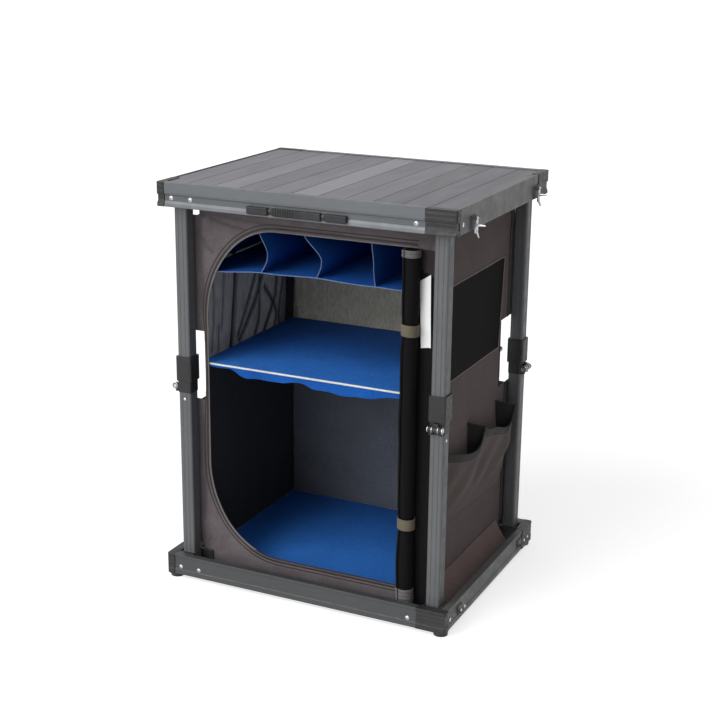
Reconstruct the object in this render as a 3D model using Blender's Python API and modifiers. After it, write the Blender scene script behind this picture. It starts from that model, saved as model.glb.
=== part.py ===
"""Folding camp kitchen table: a slatted top and a base frame on four mid-hinged legs, round a fabric cabinet.

Each leg is two square tubes with a hinge on one outer face at mid height. The four hinge faces go round
like a pinwheel, so the top comes straight down on the base. X runs along the front, Y to the back, Z up,
and the origin is on the floor under the middle of the table.
"""

from math import cos, pi, sin

import bmesh
import bpy
from mathutils import Matrix, Vector

mm = 0.001

# Whole table
width = 620 * mm
depth = 500 * mm
height = 822 * mm
clearance = 0.3 * mm
overrun = 4 * mm
overlap = 1 * mm

# Feet and base frame
foot_height = 8 * mm
foot_radius = 14 * mm
foot_inset = 15.5 * mm
foot_stem = 10 * mm
base_rail_height = 42.8 * mm
base_band = 10 * mm
base_top_band = 5 * mm
base_waist = 1.5 * mm
rail_wall = 2.5 * mm
rail_flange = 13.5 * mm
flange_wall = 2 * mm

# Top frame
top_rail_height = 47 * mm
top_edge_height = 1.5 * mm
top_slope_height = 10 * mm
top_band_height = 11 * mm
top_step_height = 1.5 * mm
top_recess = 3 * mm
lip_wall = 1.2 * mm
closed_gap = 0.8 * mm

# Corner blocks
block_proud = 1.5 * mm
block_thickness = 15 * mm
block_long_wing = 62 * mm
block_short_wing = 17 * mm
block_rounding = 5 * mm
tongue_short_side = 82 * mm
tongue_long_side = 88 * mm

# Slats and their tie bars
slat_count = 11
slat_thickness = 10 * mm
slat_skin = 1.6 * mm
slat_rib = 1.6 * mm
slat_chamfer = 0.5 * mm
tie_bar_width = 22 * mm
tie_bar_height = 8 * mm
tie_bar_spread = 240 * mm
tie_bar_inset = 58 * mm

# Leg tubes and their brackets
tube_size = 28 * mm
tube_wall = 1.5 * mm
tube_rounding = 4 * mm
tube_groove = 0.5 * mm
tube_groove_spread = 10 * mm
tube_past_pivot = 9 * mm
leg_inset = 24 * mm
base_pivot_rise = 18 * mm
pivot_pin_radius = 3.5 * mm
bracket_wall = 3 * mm
bracket_reach = 40 * mm
bracket_outer_reach = 15 * mm

# Leg hinges and lock sleeves
fitting_size = 30 * mm
fitting_height = 12 * mm
plug_length = 24 * mm
knuckle_radius = 6 * mm
knuckle_end_length = 8 * mm
knuckle_leaf = 11 * mm
hinge_pin_radius = 2.5 * mm
hinge_head_radius = 4 * mm
hinge_head = 1.2 * mm
sleeve_size = 35 * mm
sleeve_height = 50 * mm

# Latches
latch_spread = 344 * mm
latch_plate_width = 22 * mm
latch_plate_height = 26 * mm
latch_plate_above = 5 * mm
latch_plate_wall = 2.5 * mm
latch_pivot_drop = 25 * mm
latch_pivot_out = 7 * mm
latch_barrel_radius = 3 * mm
latch_ear_wall = 2.6 * mm
latch_pin_radius = 1.2 * mm
latch_arm_width = 10 * mm
latch_arm_wall = 3 * mm
latch_arm_length = 27 * mm
latch_prong_radius = 3.2 * mm
latch_prong_tip = 1.6 * mm
latch_prong_reach = 17 * mm
latch_prong_drop = 13 * mm
latch_tail_reach = 5 * mm
latch_tail_length = 9 * mm
keeper_width = 20 * mm
keeper_height = 16 * mm
keeper_rise = 13 * mm
keeper_hook_width = 10 * mm
keeper_hook_reach = 6 * mm

# Carry handle
handle_length = 206 * mm
handle_height = 14 * mm
handle_thickness = 5.6 * mm
handle_rise = 4 * mm
handle_shift = 7 * mm
handle_cap_length = 44 * mm
handle_cap_slot = 14 * mm
handle_strap_length = 8 * mm
handle_band_height = 11 * mm
handle_band_wall = 2.4 * mm
handle_edge = 1.4 * mm
handle_rib_pitch = 5 * mm
handle_rib_groove = 2 * mm
handle_rib_count = 9
handle_rib_depth = 0.8 * mm

# Bearers and boards
bearer_width = 30 * mm
bearer_spread = 260 * mm
bearer_strip = 1.4 * mm
board_thickness = 5 * mm
board_edge = 0.8 * mm
bottom_board_rise = 33.5 * mm
shelf_height = 456 * mm

# Fabric cabinet
cabinet_inset = 55.8 * mm
fabric_wall = 1.6 * mm
fabric_foot = 12.5 * mm
fabric_top = 798 * mm
opening_left = 235 * mm
opening_right = 222 * mm
opening_bottom = 60 * mm
opening_top = 737 * mm
opening_round_width = 155 * mm
opening_round_height = 190 * mm
opening_round_steps = 10
corner_cut = 24 * mm
corner_cut_height = 762 * mm
notch_front_depth = 12 * mm
notch_back_depth = 26 * mm
notch_side_depth = 40 * mm
notch_bottom = 378 * mm
notch_top = 520 * mm
fold_depth = 8 * mm
fold_bottom = 472 * mm
fold_top = 630 * mm
fold_count = 8
fold_columns = 4
fold_rows = 24
roll_radius = 17.5 * mm
roll_shift = 208.5 * mm
roll_bottom = 40 * mm
roll_top = 736 * mm
roll_sides = 16
valance_drop = 19 * mm
valance_wave = 1.6 * mm
valance_wave_count = 7
valance_columns = 6
valance_rows = 3

# Organiser and pockets
organiser_bottom = 652 * mm
organiser_top = 798 * mm
divider_bulge = 14 * mm
divider_pitch = 118 * mm
divider_shift = 4 * mm
divider_count = 3
divider_columns = 4
divider_rows = 8
pocket_width = 160 * mm
pocket_gap = 6 * mm
pocket_bottom = 177 * mm
pocket_height = 175 * mm
pocket_sag = 50 * mm
pocket_bulge = 34 * mm
pocket_shift = -20 * mm
pocket_columns = 12
pocket_rows = 5

# Places worked out from the sizes above
base_top = foot_height + base_rail_height
top_bottom = height - top_rail_height
slat_top = height - lip_wall - clearance
slat_bottom = slat_top - slat_thickness
slat_seat = slat_bottom - clearance
leg_centre = leg_inset + tube_size / 2
knuckle_offset = fitting_size / 2 + knuckle_radius + clearance
base_pivot_z = foot_height + base_pivot_rise
half_leg = (top_bottom - base_top - closed_gap) / 2 + knuckle_offset
knee_z = base_pivot_z + half_leg
top_pivot_z = knee_z + half_leg
web_inner = block_proud + rail_wall
cheek_back = block_thickness + clearance
cheek_outer = leg_inset - clearance
cheek_inner = leg_inset + tube_size + clearance
panel_x = width / 2 - cabinet_inset
panel_y = depth / 2 - cabinet_inset
inner_x = panel_x - fabric_wall - clearance
inner_y = panel_y - fabric_wall - clearance
bottom_board_top = foot_height + bottom_board_rise
handle_bottom = top_bottom + handle_rise
latch_pivot_z = height - latch_pivot_drop
latch_places = (depth / 2 - latch_spread / 2, depth / 2 + latch_spread / 2)

corner_names = ("fl", "fr", "br", "bl")
side_names = ("front", "right", "rear", "left")
round_sides = 12
small_sides = 8
foot_sides = 20
quarter = pi / 2
part_name = "folding_camp_kitchen_table"


# Shapes: each function returns a bmesh


def box(low, high):
    """A box between two opposite corners."""
    size = [b - a for a, b in zip(low, high)]
    middle = [(a + b) / 2 for a, b in zip(low, high)]
    shape = bmesh.new()
    bmesh.ops.create_cube(shape, size=1)
    place = Matrix.Translation(middle) @ Matrix.Diagonal((*size, 1))
    return moved(shape, place)


def rod(start, end, radius, end_radius=None, sides=round_sides):
    """A round bar, or a taper, between two points."""
    start, end = Vector(start), Vector(end)
    shape = bmesh.new()
    bmesh.ops.create_cone(
        shape,
        cap_ends=True,
        segments=sides,
        radius1=radius,
        radius2=end_radius or radius,
        depth=(end - start).length,
    )
    turn = (end - start).to_track_quat("Z", "Y").to_matrix().to_4x4()
    return moved(shape, Matrix.Translation((start + end) / 2) @ turn)


def taken(holder):
    """The evaluated mesh of a helper object, as a bmesh; the helper is removed."""
    bpy.context.scene.collection.objects.link(holder)
    graph = bpy.context.evaluated_depsgraph_get()
    mesh = bpy.data.meshes.new_from_object(holder.evaluated_get(graph))
    shape = bmesh.new()
    shape.from_mesh(mesh)
    bpy.data.objects.remove(holder, do_unlink=True)
    bpy.data.meshes.remove(mesh)
    bmesh.ops.remove_doubles(shape, verts=shape.verts, dist=clearance / 10)
    bmesh.ops.recalc_face_normals(shape, faces=shape.faces)
    return shape


def prism(loops, length):
    """A flat outline, with any holes, from z = 0 to z = length."""
    curve = bpy.data.curves.new("outline", "CURVE")
    curve.dimensions = "2D"
    curve.fill_mode = "BOTH"
    curve.extrude = length / 2
    for loop in loops:
        spline = curve.splines.new("POLY")
        spline.points.add(len(loop) - 1)
        spline.use_cyclic_u = True
        for point, (x, y) in zip(spline.points, loop):
            point.co = (x, y, 0, 1)
    shape = taken(bpy.data.objects.new("outline", curve))
    return moved(shape, Matrix.Translation((0, 0, length / 2)))


def turned(profile, sides):
    """A profile of (radius, z) points, from the top down its outer side, turned about Z."""
    mesh = bpy.data.meshes.new("profile")
    points = [(r, 0, z) for r, z in profile]
    edges = [(i, i + 1) for i in range(len(points) - 1)]
    mesh.from_pydata(points, edges, [])
    holder = bpy.data.objects.new("profile", mesh)
    screw = holder.modifiers.new("turn", "SCREW")
    screw.steps = screw.render_steps = sides
    screw.use_merge_vertices = True
    screw.merge_threshold = clearance / 10
    return taken(holder)


def moved(shape, matrix):
    """The shape, placed by a matrix."""
    bmesh.ops.transform(shape, matrix=matrix, verts=shape.verts)
    return shape


def shifted(shape, x=0, y=0, z=0):
    return moved(shape, Matrix.Translation((x, y, z)))


def along_x(shape):
    """Turns a prism so that its outline's (x, y) become (y, z) and its length runs along X."""
    return moved(shape, Matrix(((0, 0, 1, 0), (1, 0, 0, 0), (0, 1, 0, 0), (0, 0, 0, 1))))


def along_y(shape):
    """Turns a prism so that its outline's (x, y) become (x, z) and its length runs along -Y."""
    return moved(shape, Matrix.Rotation(quarter, 4, "X"))


def together(shapes):
    """Several shapes as one bmesh of separate solids."""
    whole = bmesh.new()
    for shape in shapes:
        mesh = bpy.data.meshes.new("piece")
        shape.to_mesh(mesh)
        whole.from_mesh(mesh)
        shape.free()
        bpy.data.meshes.remove(mesh)
    return whole


def sheet(columns, rows, place):
    """An open grid whose points are place(u, v), with u and v from 0 to 1."""
    shape = bmesh.new()
    grid = [
        [shape.verts.new(place(i / columns, j / rows)) for i in range(columns + 1)]
        for j in range(rows + 1)
    ]
    for low, high in zip(grid, grid[1:]):
        for i in range(columns):
            shape.faces.new((low[i], low[i + 1], high[i + 1], high[i]))
    return shape


def arc(centre, radius, start, end, steps, rise=None):
    """Points of an arc, its angles in quarter turns; of an ellipse where the rise isn't the radius."""
    rise = rise or radius
    angles = [quarter * (start + (end - start) * i / steps) for i in range(steps + 1)]
    return [(centre[0] + radius * cos(a), centre[1] + rise * sin(a)) for a in angles]


def rounded_square(half, radius, steps=3):
    """A square outline with round corners."""
    inner = half - radius
    places = ((inner, inner), (-inner, inner), (-inner, -inner), (inner, -inner))
    return [p for k, at in enumerate(places) for p in arc(at, radius, k, k + 1, steps)]


def tube_outline():
    """The leg tube's outer outline, with two shallow grooves on each face."""
    half = tube_size / 2
    inner = half - tube_rounding
    face = []
    for sign in (-1, 1):
        middle = sign * tube_groove_spread / 2
        face.append((half, middle - tube_groove))
        face.append((half - tube_groove, middle))
        face.append((half, middle + tube_groove))
    face += arc((inner, inner), tube_rounding, 0, 1, 3)
    turns = [Matrix.Rotation(k * quarter, 2) for k in range(4)]
    return [tuple(turn @ Vector(p)) for turn in turns for p in face]


# Objects


def clear_scene():
    """Starts from an empty scene."""
    for thing in list(bpy.data.objects):
        bpy.data.objects.remove(thing, do_unlink=True)


def new_collection(name):
    """A collection under the scene's own."""
    made = bpy.data.collections.new(name)
    bpy.context.scene.collection.children.link(made)
    return made


def material(name, colour, roughness, metallic):
    """A plain Principled material."""
    made = bpy.data.materials.new(name)
    made.use_nodes = True
    shader = made.node_tree.nodes["Principled BSDF"]
    shader.inputs["Base Color"].default_value = (*colour, 1)
    shader.inputs["Roughness"].default_value = roughness
    shader.inputs["Metallic"].default_value = metallic
    return made


def empty(name, place, parent=None):
    """A frame for a joint, placed in its parent's frame."""
    made = bpy.data.objects.new(name, None)
    made.empty_display_size = tube_size
    made.parent = parent
    made.matrix_local = place
    parts.objects.link(made)
    bpy.context.view_layer.update()
    return made


def node(name, shape, finish, parent=None):
    """A finished piece, in its parent's frame."""
    mesh = bpy.data.meshes.new(name)
    shape.to_mesh(mesh)
    shape.free()
    mesh.materials.append(finish)
    made = bpy.data.objects.new(name, mesh)
    made.parent = parent
    parts.objects.link(made)
    return made


def tool(name, shape, parent=None):
    """A shape that cuts or joins, kept with the cutters."""
    mesh = bpy.data.meshes.new(name)
    shape.to_mesh(mesh)
    shape.free()
    made = bpy.data.objects.new(name, mesh)
    made.parent = parent
    made.hide_render = True
    made.display_type = "WIRE"
    cutters.objects.link(made)
    return made


def combine(made, other, operation):
    """A live Boolean with another shape."""
    step = made.modifiers.new(other.name, "BOOLEAN")
    step.object = other
    step.operation = operation
    step.solver = "EXACT"
    return made


def cut(made, other):
    return combine(made, other, "DIFFERENCE")


def fuse(made, other):
    return combine(made, other, "UNION")


def thicken(made, wall, side):
    """Gives an open sheet its thickness; side is 1 along its faces' normals and -1 against them."""
    step = made.modifiers.new("wall", "SOLIDIFY")
    step.thickness = wall
    step.offset = side
    return made


def soften(made, edge, segments=1):
    """Small rounded edges."""
    step = made.modifiers.new("edges", "BEVEL")
    step.width = edge
    step.segments = segments
    step.limit_method = "ANGLE"
    return made


def smooth(made):
    """Smooth faces with sharp edges where the angle is steep."""
    made.data.shade_smooth()
    made.data.set_sharp_from_angle(angle=pi / 5)
    return made


# Corners: local x runs the way the leg's knee folds, local y along the face that carries the hinge


def corner(k):
    """The frame of a corner on the floor, at the outside of the corner block."""
    side_x = (-1, 1, 1, -1)[k] * width / 2
    side_y = (-1, -1, 1, 1)[k] * depth / 2
    return Matrix.Translation((side_x, side_y, 0)) @ Matrix.Rotation(k * quarter, 4, "Z")


def rail_run(outline, k, low):
    """A rail from a corner's short wing to the next corner's long wing."""
    side = depth if k % 2 else width
    start = block_short_wing + clearance
    length = side - block_long_wing - clearance - start
    return shifted(along_x(prism([outline], length)), start, block_proud, low)


def block_outline():
    """The corner block from above: a long wing along y and a short wing along x."""
    start = arc((block_rounding, block_rounding), block_rounding, 2, 3, 4)
    return start + [
        (block_short_wing, 0),
        (block_short_wing, block_thickness),
        (block_thickness, block_thickness),
        (block_thickness, block_long_wing),
        (0, block_long_wing),
    ]


def tongues(low, high, back):
    """The two tongues of a corner block that slide into its rails."""
    face = block_proud + rail_flange - flange_wall
    short_root = block_short_wing - overrun
    long_root = block_long_wing - overrun
    return together([
        box((short_root, back, low), (tongue_short_side, face, high)),
        box((back, long_root, low), (face, tongue_long_side, high)),
    ])


def groove(section, low, on_side):
    """A cutter that carries a recess along one outer face of a corner block."""
    outline = [(-overrun, section[0][1])] + section + [(-overrun, section[-1][1])]
    run = block_long_wing + 2 * overrun
    shape = prism([outline], run)
    if on_side:
        return shifted(along_y(shape), y=run - overrun, z=low)
    return shifted(along_x(shape), x=-overrun, z=low)


def bracket_outline():
    """The leg bracket from above: two cheeks beside the tube, joined by a plate behind it."""
    root = block_thickness - overlap
    plate = cheek_back + bracket_wall
    reach = leg_centre + bracket_reach
    outer_reach = leg_centre + bracket_outer_reach
    return [
        (root, cheek_back),
        (outer_reach, cheek_back),
        (outer_reach, cheek_outer),
        (plate, cheek_outer),
        (plate, cheek_inner),
        (reach, cheek_inner),
        (reach, cheek_inner + bracket_wall),
        (root, cheek_inner + bracket_wall),
    ]


def bracket_pin(pivot_z):
    """The pin through both cheeks that the leg turns on."""
    low, high = cheek_outer - bracket_wall, cheek_inner + bracket_wall / 2
    return rod((leg_centre, low, pivot_z), (leg_centre, high, pivot_z), pivot_pin_radius)


def make_block(name, frame, low, tall, bracket_top, section, pivot_z):
    """A corner moulding: a block with grooves, a leg bracket and its pin."""
    block = node(name, shifted(prism([block_outline()], tall), z=low), black_plastic, frame)
    for face, on_side in (("front", False), ("side", True)):
        cut(block, tool(name + "_" + face, groove(section, low, on_side), frame))
    bracket_height = bracket_top - low - 2 * clearance
    bracket = shifted(prism([bracket_outline()], bracket_height), z=low + clearance)
    fuse(block, tool(name + "_bracket", bracket, frame))
    fuse(block, tool(name + "_pin", bracket_pin(pivot_z), frame))
    return block


# Base frame


def base_waist_outline():
    """The shallow waist in the base's outer faces."""
    top = base_rail_height - base_top_band
    return [
        (0, base_band),
        (base_waist, base_band + base_waist),
        (base_waist, top - base_waist),
        (0, top),
    ]


def base_rail_outline():
    """Base rail section: in from the outer face, up from the underside."""
    inner = rail_wall + base_waist
    top = base_rail_height
    return [(0, 0)] + base_waist_outline() + [
        (0, top),
        (rail_flange, top),
        (rail_flange, top - flange_wall),
        (inner, top - flange_wall),
        (inner, flange_wall),
        (rail_flange, flange_wall),
        (rail_flange, 0),
    ]


def base_tongues():
    back = web_inner + base_waist + clearance
    low = foot_height + flange_wall + clearance
    return tongues(low, base_top - flange_wall - clearance, back)


def foot():
    """A round pad under a corner block."""
    high = foot_height - clearance
    return rod((foot_inset, foot_inset, 0), (foot_inset, foot_inset, high), foot_radius, sides=foot_sides)


def foot_stem_block():
    """The stem that joins the pad to its block."""
    high = block_thickness - overlap
    low = high - foot_stem
    return box((low, low, foot_height / 2), (high, high, foot_height + overrun))


def keeper(along):
    """A small plate in a side rail's waist, with a hook on it."""
    half = keeper_width / 2
    back = -base_waist - overlap
    shape = box((back, -half, 0), (back + overlap + latch_plate_wall, half, keeper_height))
    return moved(shape, side_frame(along, foot_height + keeper_rise))


def keeper_hook(along):
    half = keeper_hook_width / 2
    shape = box((-base_waist / 2, -half, overlap), (keeper_hook_reach, half, overlap + latch_plate_wall))
    return moved(shape, side_frame(along, foot_height + keeper_rise))


def make_base_frame(frames):
    """Rails, and corner mouldings with their feet."""
    for k, frame in enumerate(frames):
        name = "base_" + side_names[k] + "_rail"
        rail = node(name, rail_run(base_rail_outline(), k, foot_height), rail_grey, frame)
        if k % 2:
            for piece in (keeper, keeper_hook):
                pair = together([piece(along) for along in latch_places])
                fuse(rail, tool(piece.__name__ + "_" + side_names[k], pair, frame))
        name = "base_corner_" + corner_names[k]
        section = base_waist_outline()
        block = make_block(name, frame, foot_height, base_rail_height, base_top, section, base_pivot_z)
        fuse(block, tool(name + "_tongues", base_tongues(), frame))
        fuse(block, tool(name + "_stem", foot_stem_block(), frame))
        fuse(block, tool(name + "_foot", foot(), frame))


def bearer_outline():
    """A bearer from the side: flat ends that the folded legs pass over, and a raised middle."""
    end = depth / 2 - web_inner - base_waist - clearance
    middle = inner_y - clearance
    low = foot_height + flange_wall + clearance
    strip = low + bearer_strip
    top = bottom_board_top - board_thickness - clearance
    raised = [(middle, strip), (middle, top), (-middle, top), (-middle, strip)]
    return [(-end, low), (end, low), (end, strip)] + raised + [(-end, strip)]


def make_base_inside():
    """The cross frame on the front and rear rails, and the bottom shelf board that lies on it."""
    bars = []
    for side in (-1, 1):
        start = side * bearer_spread / 2 - bearer_width / 2
        bars.append(shifted(along_x(prism([bearer_outline()], bearer_width)), x=start))
    made = node("base_cross_frame", together(bars), rail_grey)
    low = foot_height + flange_wall + 2 * clearance
    high = bottom_board_top - board_thickness - 2 * clearance
    reach, half = bearer_spread / 2, bearer_width / 2
    fuse(made, tool("cross_frame_spine", box((-reach, -half, low), (reach, half, high))))
    low = (-inner_x, -inner_y, bottom_board_top - board_thickness)
    board = box(low, (inner_x, inner_y, bottom_board_top))
    soften(node("bottom_shelf_board", board, blue), board_edge)


def side_frame(along, z):
    """A frame on a side rail's outer face, placed in its corner's frame: x out, y along the rail, z up."""
    turn = Matrix.Rotation(-quarter, 4, "Z")
    return Matrix.Translation((along, block_proud, z)) @ turn


# Legs


def hollow_tube(length):
    """A leg tube from z = 0 up."""
    inner = tube_size / 2 - tube_wall
    hole = [(-inner, -inner), (-inner, inner), (inner, inner), (inner, -inner)]
    return prism([tube_outline(), hole], length)


def leg_bore():
    """The hole through a tube for its pivot pin."""
    reach = tube_size / 2 + overrun
    return rod((0, -reach, 0), (0, reach, 0), pivot_pin_radius + clearance)


def fitting_plug():
    """The part of a fitting that fills the end of its tube."""
    half = tube_size / 2 - tube_wall - clearance
    root = fitting_height - overrun
    return box((-half, -half, root), (half, half, fitting_height + plug_length))


def knuckle_spans(is_lower):
    """The stretches of the hinge barrel, along y, that belong to a fitting."""
    half = tube_size / 2
    split = half - knuckle_end_length
    if is_lower:
        return [(-half, -split), (split, half)]
    return [(clearance - split, split - clearance)]


def knuckles(is_lower):
    """Barrel pieces about the hinge axis, which lies half a clearance under the block."""
    x, z = -knuckle_offset, -clearance / 2
    spans = knuckle_spans(is_lower)
    return together([rod((x, a, z), (x, b, z), knuckle_radius) for a, b in spans])


def leaves(is_lower):
    """The webs between the barrel pieces and the block, a little narrower than both."""
    root, trim = overlap - fitting_size / 2, overlap / 2
    webs = []
    for start, end in knuckle_spans(is_lower):
        low = (-knuckle_offset, start + trim, trim)
        webs.append(box(low, (root, end - trim, knuckle_leaf)))
    return together(webs)


def hinge_bore():
    x, z = -knuckle_offset, -clearance / 2
    reach = tube_size / 2 + overrun
    return rod((x, -reach, z), (x, reach, z), hinge_pin_radius + clearance)


def make_fitting(name, frame, is_lower):
    """A hinge fitting: block, plug, leaves and knuckles, bored for the pin."""
    block = prism([rounded_square(fitting_size / 2, tube_rounding)], fitting_height)
    made = node(name, block, black_plastic, frame)
    fuse(made, tool(name + "_plug", fitting_plug(), frame))
    fuse(made, tool(name + "_leaves", leaves(is_lower), frame))
    fuse(made, tool(name + "_knuckles", knuckles(is_lower), frame))
    cut(made, tool(name + "_bore", hinge_bore(), frame))


def hinge_pin():
    """The pin of the mid hinge with a head at each end, along y."""
    end = tube_size / 2 + clearance
    head = end + hinge_head
    profile = [
        (0, head),
        (hinge_head_radius, head),
        (hinge_head_radius, end),
        (hinge_pin_radius, end),
        (hinge_pin_radius, -end),
        (hinge_head_radius, -end),
        (hinge_head_radius, -head),
        (0, -head),
    ]
    pin = moved(turned(profile, round_sides), Matrix.Rotation(quarter, 4, "X"))
    return shifted(pin, x=-knuckle_offset)


def lock_sleeve():
    """The sleeve that slides on the upper tube."""
    inner = tube_size / 2 + clearance
    loops = [rounded_square(sleeve_size / 2, tube_rounding), rounded_square(inner, tube_rounding)]
    return prism(loops, sleeve_height)


def make_leg(k):
    """One leg; each half hangs on the frame of its own joint. Returns the upper half's frame."""
    name = corner_names[k]
    gap = Matrix.Translation((0, 0, clearance / 2))
    knee_up = Matrix.Translation((0, 0, half_leg))
    tube_start = clearance / 2 + fitting_height + clearance
    length = half_leg - tube_start + tube_past_pivot

    place = corner(k) @ Matrix.Translation((leg_centre, leg_centre, base_pivot_z))
    lower = empty(name + "_foot_pivot", place)
    shape = shifted(hollow_tube(length), z=-tube_past_pivot)
    tube = node(name + "_lower_tube", shape, tube_grey, lower)
    cut(tube, tool(name + "_foot_bore", leg_bore(), lower))
    upside_down = knee_up @ Matrix.Rotation(pi, 4, "X") @ gap
    make_fitting(name + "_lower_fitting", empty(name + "_lower_end", upside_down, lower), True)
    smooth(node(name + "_hinge_pin", shifted(hinge_pin(), z=half_leg), steel, lower))

    knee = empty(name + "_knee", knee_up @ Matrix.Translation((-knuckle_offset, 0, 0)), lower)
    upper = empty(name + "_upper_half", Matrix.Translation((knuckle_offset, 0, 0)), knee)
    tube = node(name + "_upper_tube", shifted(hollow_tube(length), z=tube_start), tube_grey, upper)
    cut(tube, tool(name + "_head_bore", shifted(leg_bore(), z=half_leg), upper))
    make_fitting(name + "_upper_fitting", empty(name + "_upper_end", gap, upper), False)
    sleeve = shifted(lock_sleeve(), z=tube_start)
    smooth(node(name + "_lock_sleeve", sleeve, black_plastic, upper))
    return upper


# Top frame


def recess_outline():
    """The front and back face of the top: a sloped foot, a recessed band and a step."""
    slope_top = top_edge_height + top_slope_height
    band_top = slope_top + top_band_height
    return [
        (0, top_edge_height),
        (top_recess, slope_top),
        (top_recess, band_top),
        (0, band_top + top_step_height),
    ]


def rail_inside(inner, lower_inner):
    """The inside of a top rail, from the slat slot down: ledge, web and bottom flange."""
    seat = slat_seat - top_bottom
    return [
        (inner, seat),
        (rail_flange, seat),
        (rail_flange, seat - flange_wall),
        (lower_inner, seat - flange_wall),
        (lower_inner, flange_wall),
        (rail_flange, flange_wall),
        (rail_flange, 0),
    ]


def top_long_rail_outline():
    """Front and back rail section, with a lip over the slats' ends."""
    lip = top_rail_height - lip_wall
    face = [(0, 0)] + recess_outline() + [(0, top_rail_height)]
    slot = [(rail_flange, top_rail_height), (rail_flange, lip), (rail_wall, lip)]
    return face + slot + rail_inside(rail_wall, rail_wall + top_recess)


def top_short_rail_outline():
    """Side rail section: a plain face whose top edge stands beside the slats."""
    face = [(0, 0), (0, top_rail_height), (rail_wall, top_rail_height)]
    return face + rail_inside(rail_wall, rail_wall)


def top_tongues():
    back = web_inner + top_recess + clearance
    low = top_bottom + flange_wall + clearance
    return tongues(low, slat_seat - flange_wall - clearance, back)


def slat_bed():
    """The room for the slats in a corner block, under a thin lip."""
    reach = block_long_wing + overrun
    return box((web_inner, web_inner, slat_seat), (reach, reach, slat_top + clearance))


def make_top_frame(frames):
    """Rails and corner mouldings of the top; the side rails carry the latch plates."""
    outlines = (top_long_rail_outline(), top_short_rail_outline())
    for k, frame in enumerate(frames):
        name = "top_" + side_names[k] + "_rail"
        rail = node(name, rail_run(outlines[k % 2], k, top_bottom), rail_grey, frame)
        if k % 2:
            for piece in (latch_plate, latch_ears, latch_pin):
                pair = together([moved(piece(), side_frame(x, latch_pivot_z)) for x in latch_places])
                fuse(rail, tool(piece.__name__ + "_" + side_names[k], pair, frame))
        name = "top_corner_" + corner_names[k]
        section = recess_outline()
        block = make_block(name, frame, top_bottom, top_rail_height, slat_seat, section, top_pivot_z)
        fuse(block, tool(name + "_tongues", top_tongues(), frame))
        cut(block, tool(name + "_bed", slat_bed(), frame))


def slat_outline(wide):
    """A slat from its end: a skin with a rib down each edge, open underneath."""
    half = wide / 2
    rib = half - slat_rib
    shoulder = slat_thickness - slat_chamfer
    skin = slat_thickness - slat_skin
    left = [(-half, 0), (-half, shoulder), (slat_chamfer - half, slat_thickness)]
    right = [(half - slat_chamfer, slat_thickness), (half, shoulder), (half, 0)]
    return left + right + [(rib, 0), (rib, skin), (-rib, skin), (-rib, 0)]


def make_slats(top):
    """The slats side by side, held by two tie bars under them."""
    pitch = (width - 2 * web_inner - clearance) / slat_count
    length = depth - 2 * (web_inner + clearance)
    slats = []
    for i in range(slat_count):
        x = (i - (slat_count - 1) / 2) * pitch
        slat = along_y(prism([slat_outline(pitch - clearance)], length))
        slats.append(shifted(slat, x, length / 2, slat_bottom))
    made = node("tabletop_slats", together(slats), slat_grey, top)
    reach = width / 2 - tie_bar_inset
    low, high = slat_seat - tie_bar_height, slat_bottom + overlap
    bars = []
    for side in (-1, 1):
        middle = side * tie_bar_spread / 2
        front, back = middle - tie_bar_width / 2, middle + tie_bar_width / 2
        bars.append(box((-reach, front, low), (reach, back, high)))
    fuse(made, tool("slat_tie_bars", together(bars)))


# Latches


def latch_plate():
    half = latch_plate_width / 2
    low = (-overlap, -half, latch_plate_above - latch_plate_height)
    return box(low, (latch_plate_wall, half, latch_plate_above))


def latch_ears():
    """Two ears that hold the lever's pin."""
    inner = latch_arm_width / 2 + clearance
    outer = inner + latch_ear_wall
    root, reach = latch_plate_wall / 2, latch_pivot_out + latch_barrel_radius
    tall = latch_barrel_radius
    spans = [(-outer, -inner), (inner, outer)]
    return together([box((root, a, -tall), (reach, b, tall)) for a, b in spans])


def latch_pin():
    end = latch_arm_width / 2 + latch_ear_wall
    start, stop = (latch_pivot_out, -end, 0), (latch_pivot_out, end, 0)
    return rod(start, stop, latch_pin_radius, sides=small_sides)


def latch_arm():
    half, wall = latch_arm_width / 2, latch_arm_wall / 2
    return box((-wall, -half, -latch_arm_length), (wall, half, 0))


def latch_barrel():
    half = latch_arm_width / 2
    return rod((0, -half, 0), (0, half, 0), latch_barrel_radius)


def latch_bore():
    reach = latch_arm_width / 2 + overrun
    radius = latch_pin_radius + clearance
    return rod((0, -reach, 0), (0, reach, 0), radius, sides=small_sides)


def latch_prong():
    """The wing that points out."""
    start = (0, 0, -latch_prong_drop)
    end = (latch_prong_reach, 0, -latch_prong_drop)
    return rod(start, end, latch_prong_radius, latch_prong_tip, small_sides)


def latch_tail():
    """The wing that points down."""
    start = (0, 0, latch_prong_radius - latch_arm_length)
    end = (latch_tail_reach, 0, -latch_arm_length - latch_tail_length)
    return rod(start, end, latch_prong_radius, latch_prong_tip, small_sides)


def make_latches(frames):
    """A lever in each latch plate."""
    ends = {1: ("front", "rear"), 3: ("rear", "front")}
    for k, names in ends.items():
        for end, along in zip(names, latch_places):
            name = side_names[k] + "_" + end
            place = side_frame(along, latch_pivot_z) @ Matrix.Translation((latch_pivot_out, 0, 0))
            axis = empty("latch_axis_" + name, place, frames[k])
            lever = node("latch_lever_" + name, latch_arm(), chrome, axis)
            for piece in (latch_barrel, latch_prong, latch_tail):
                fuse(lever, tool(piece.__name__ + "_" + name, piece(), axis))
            cut(lever, tool("latch_bore_" + name, latch_bore(), axis))


# Carry handle


def handle_piece(span, front, back, tall):
    """A box along the handle, between two distances from its left end and two depths."""
    left = -handle_length / 2
    low = (handle_height - tall) / 2
    return box((left + span[0], front, low), (left + span[1], back, low + tall))


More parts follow.
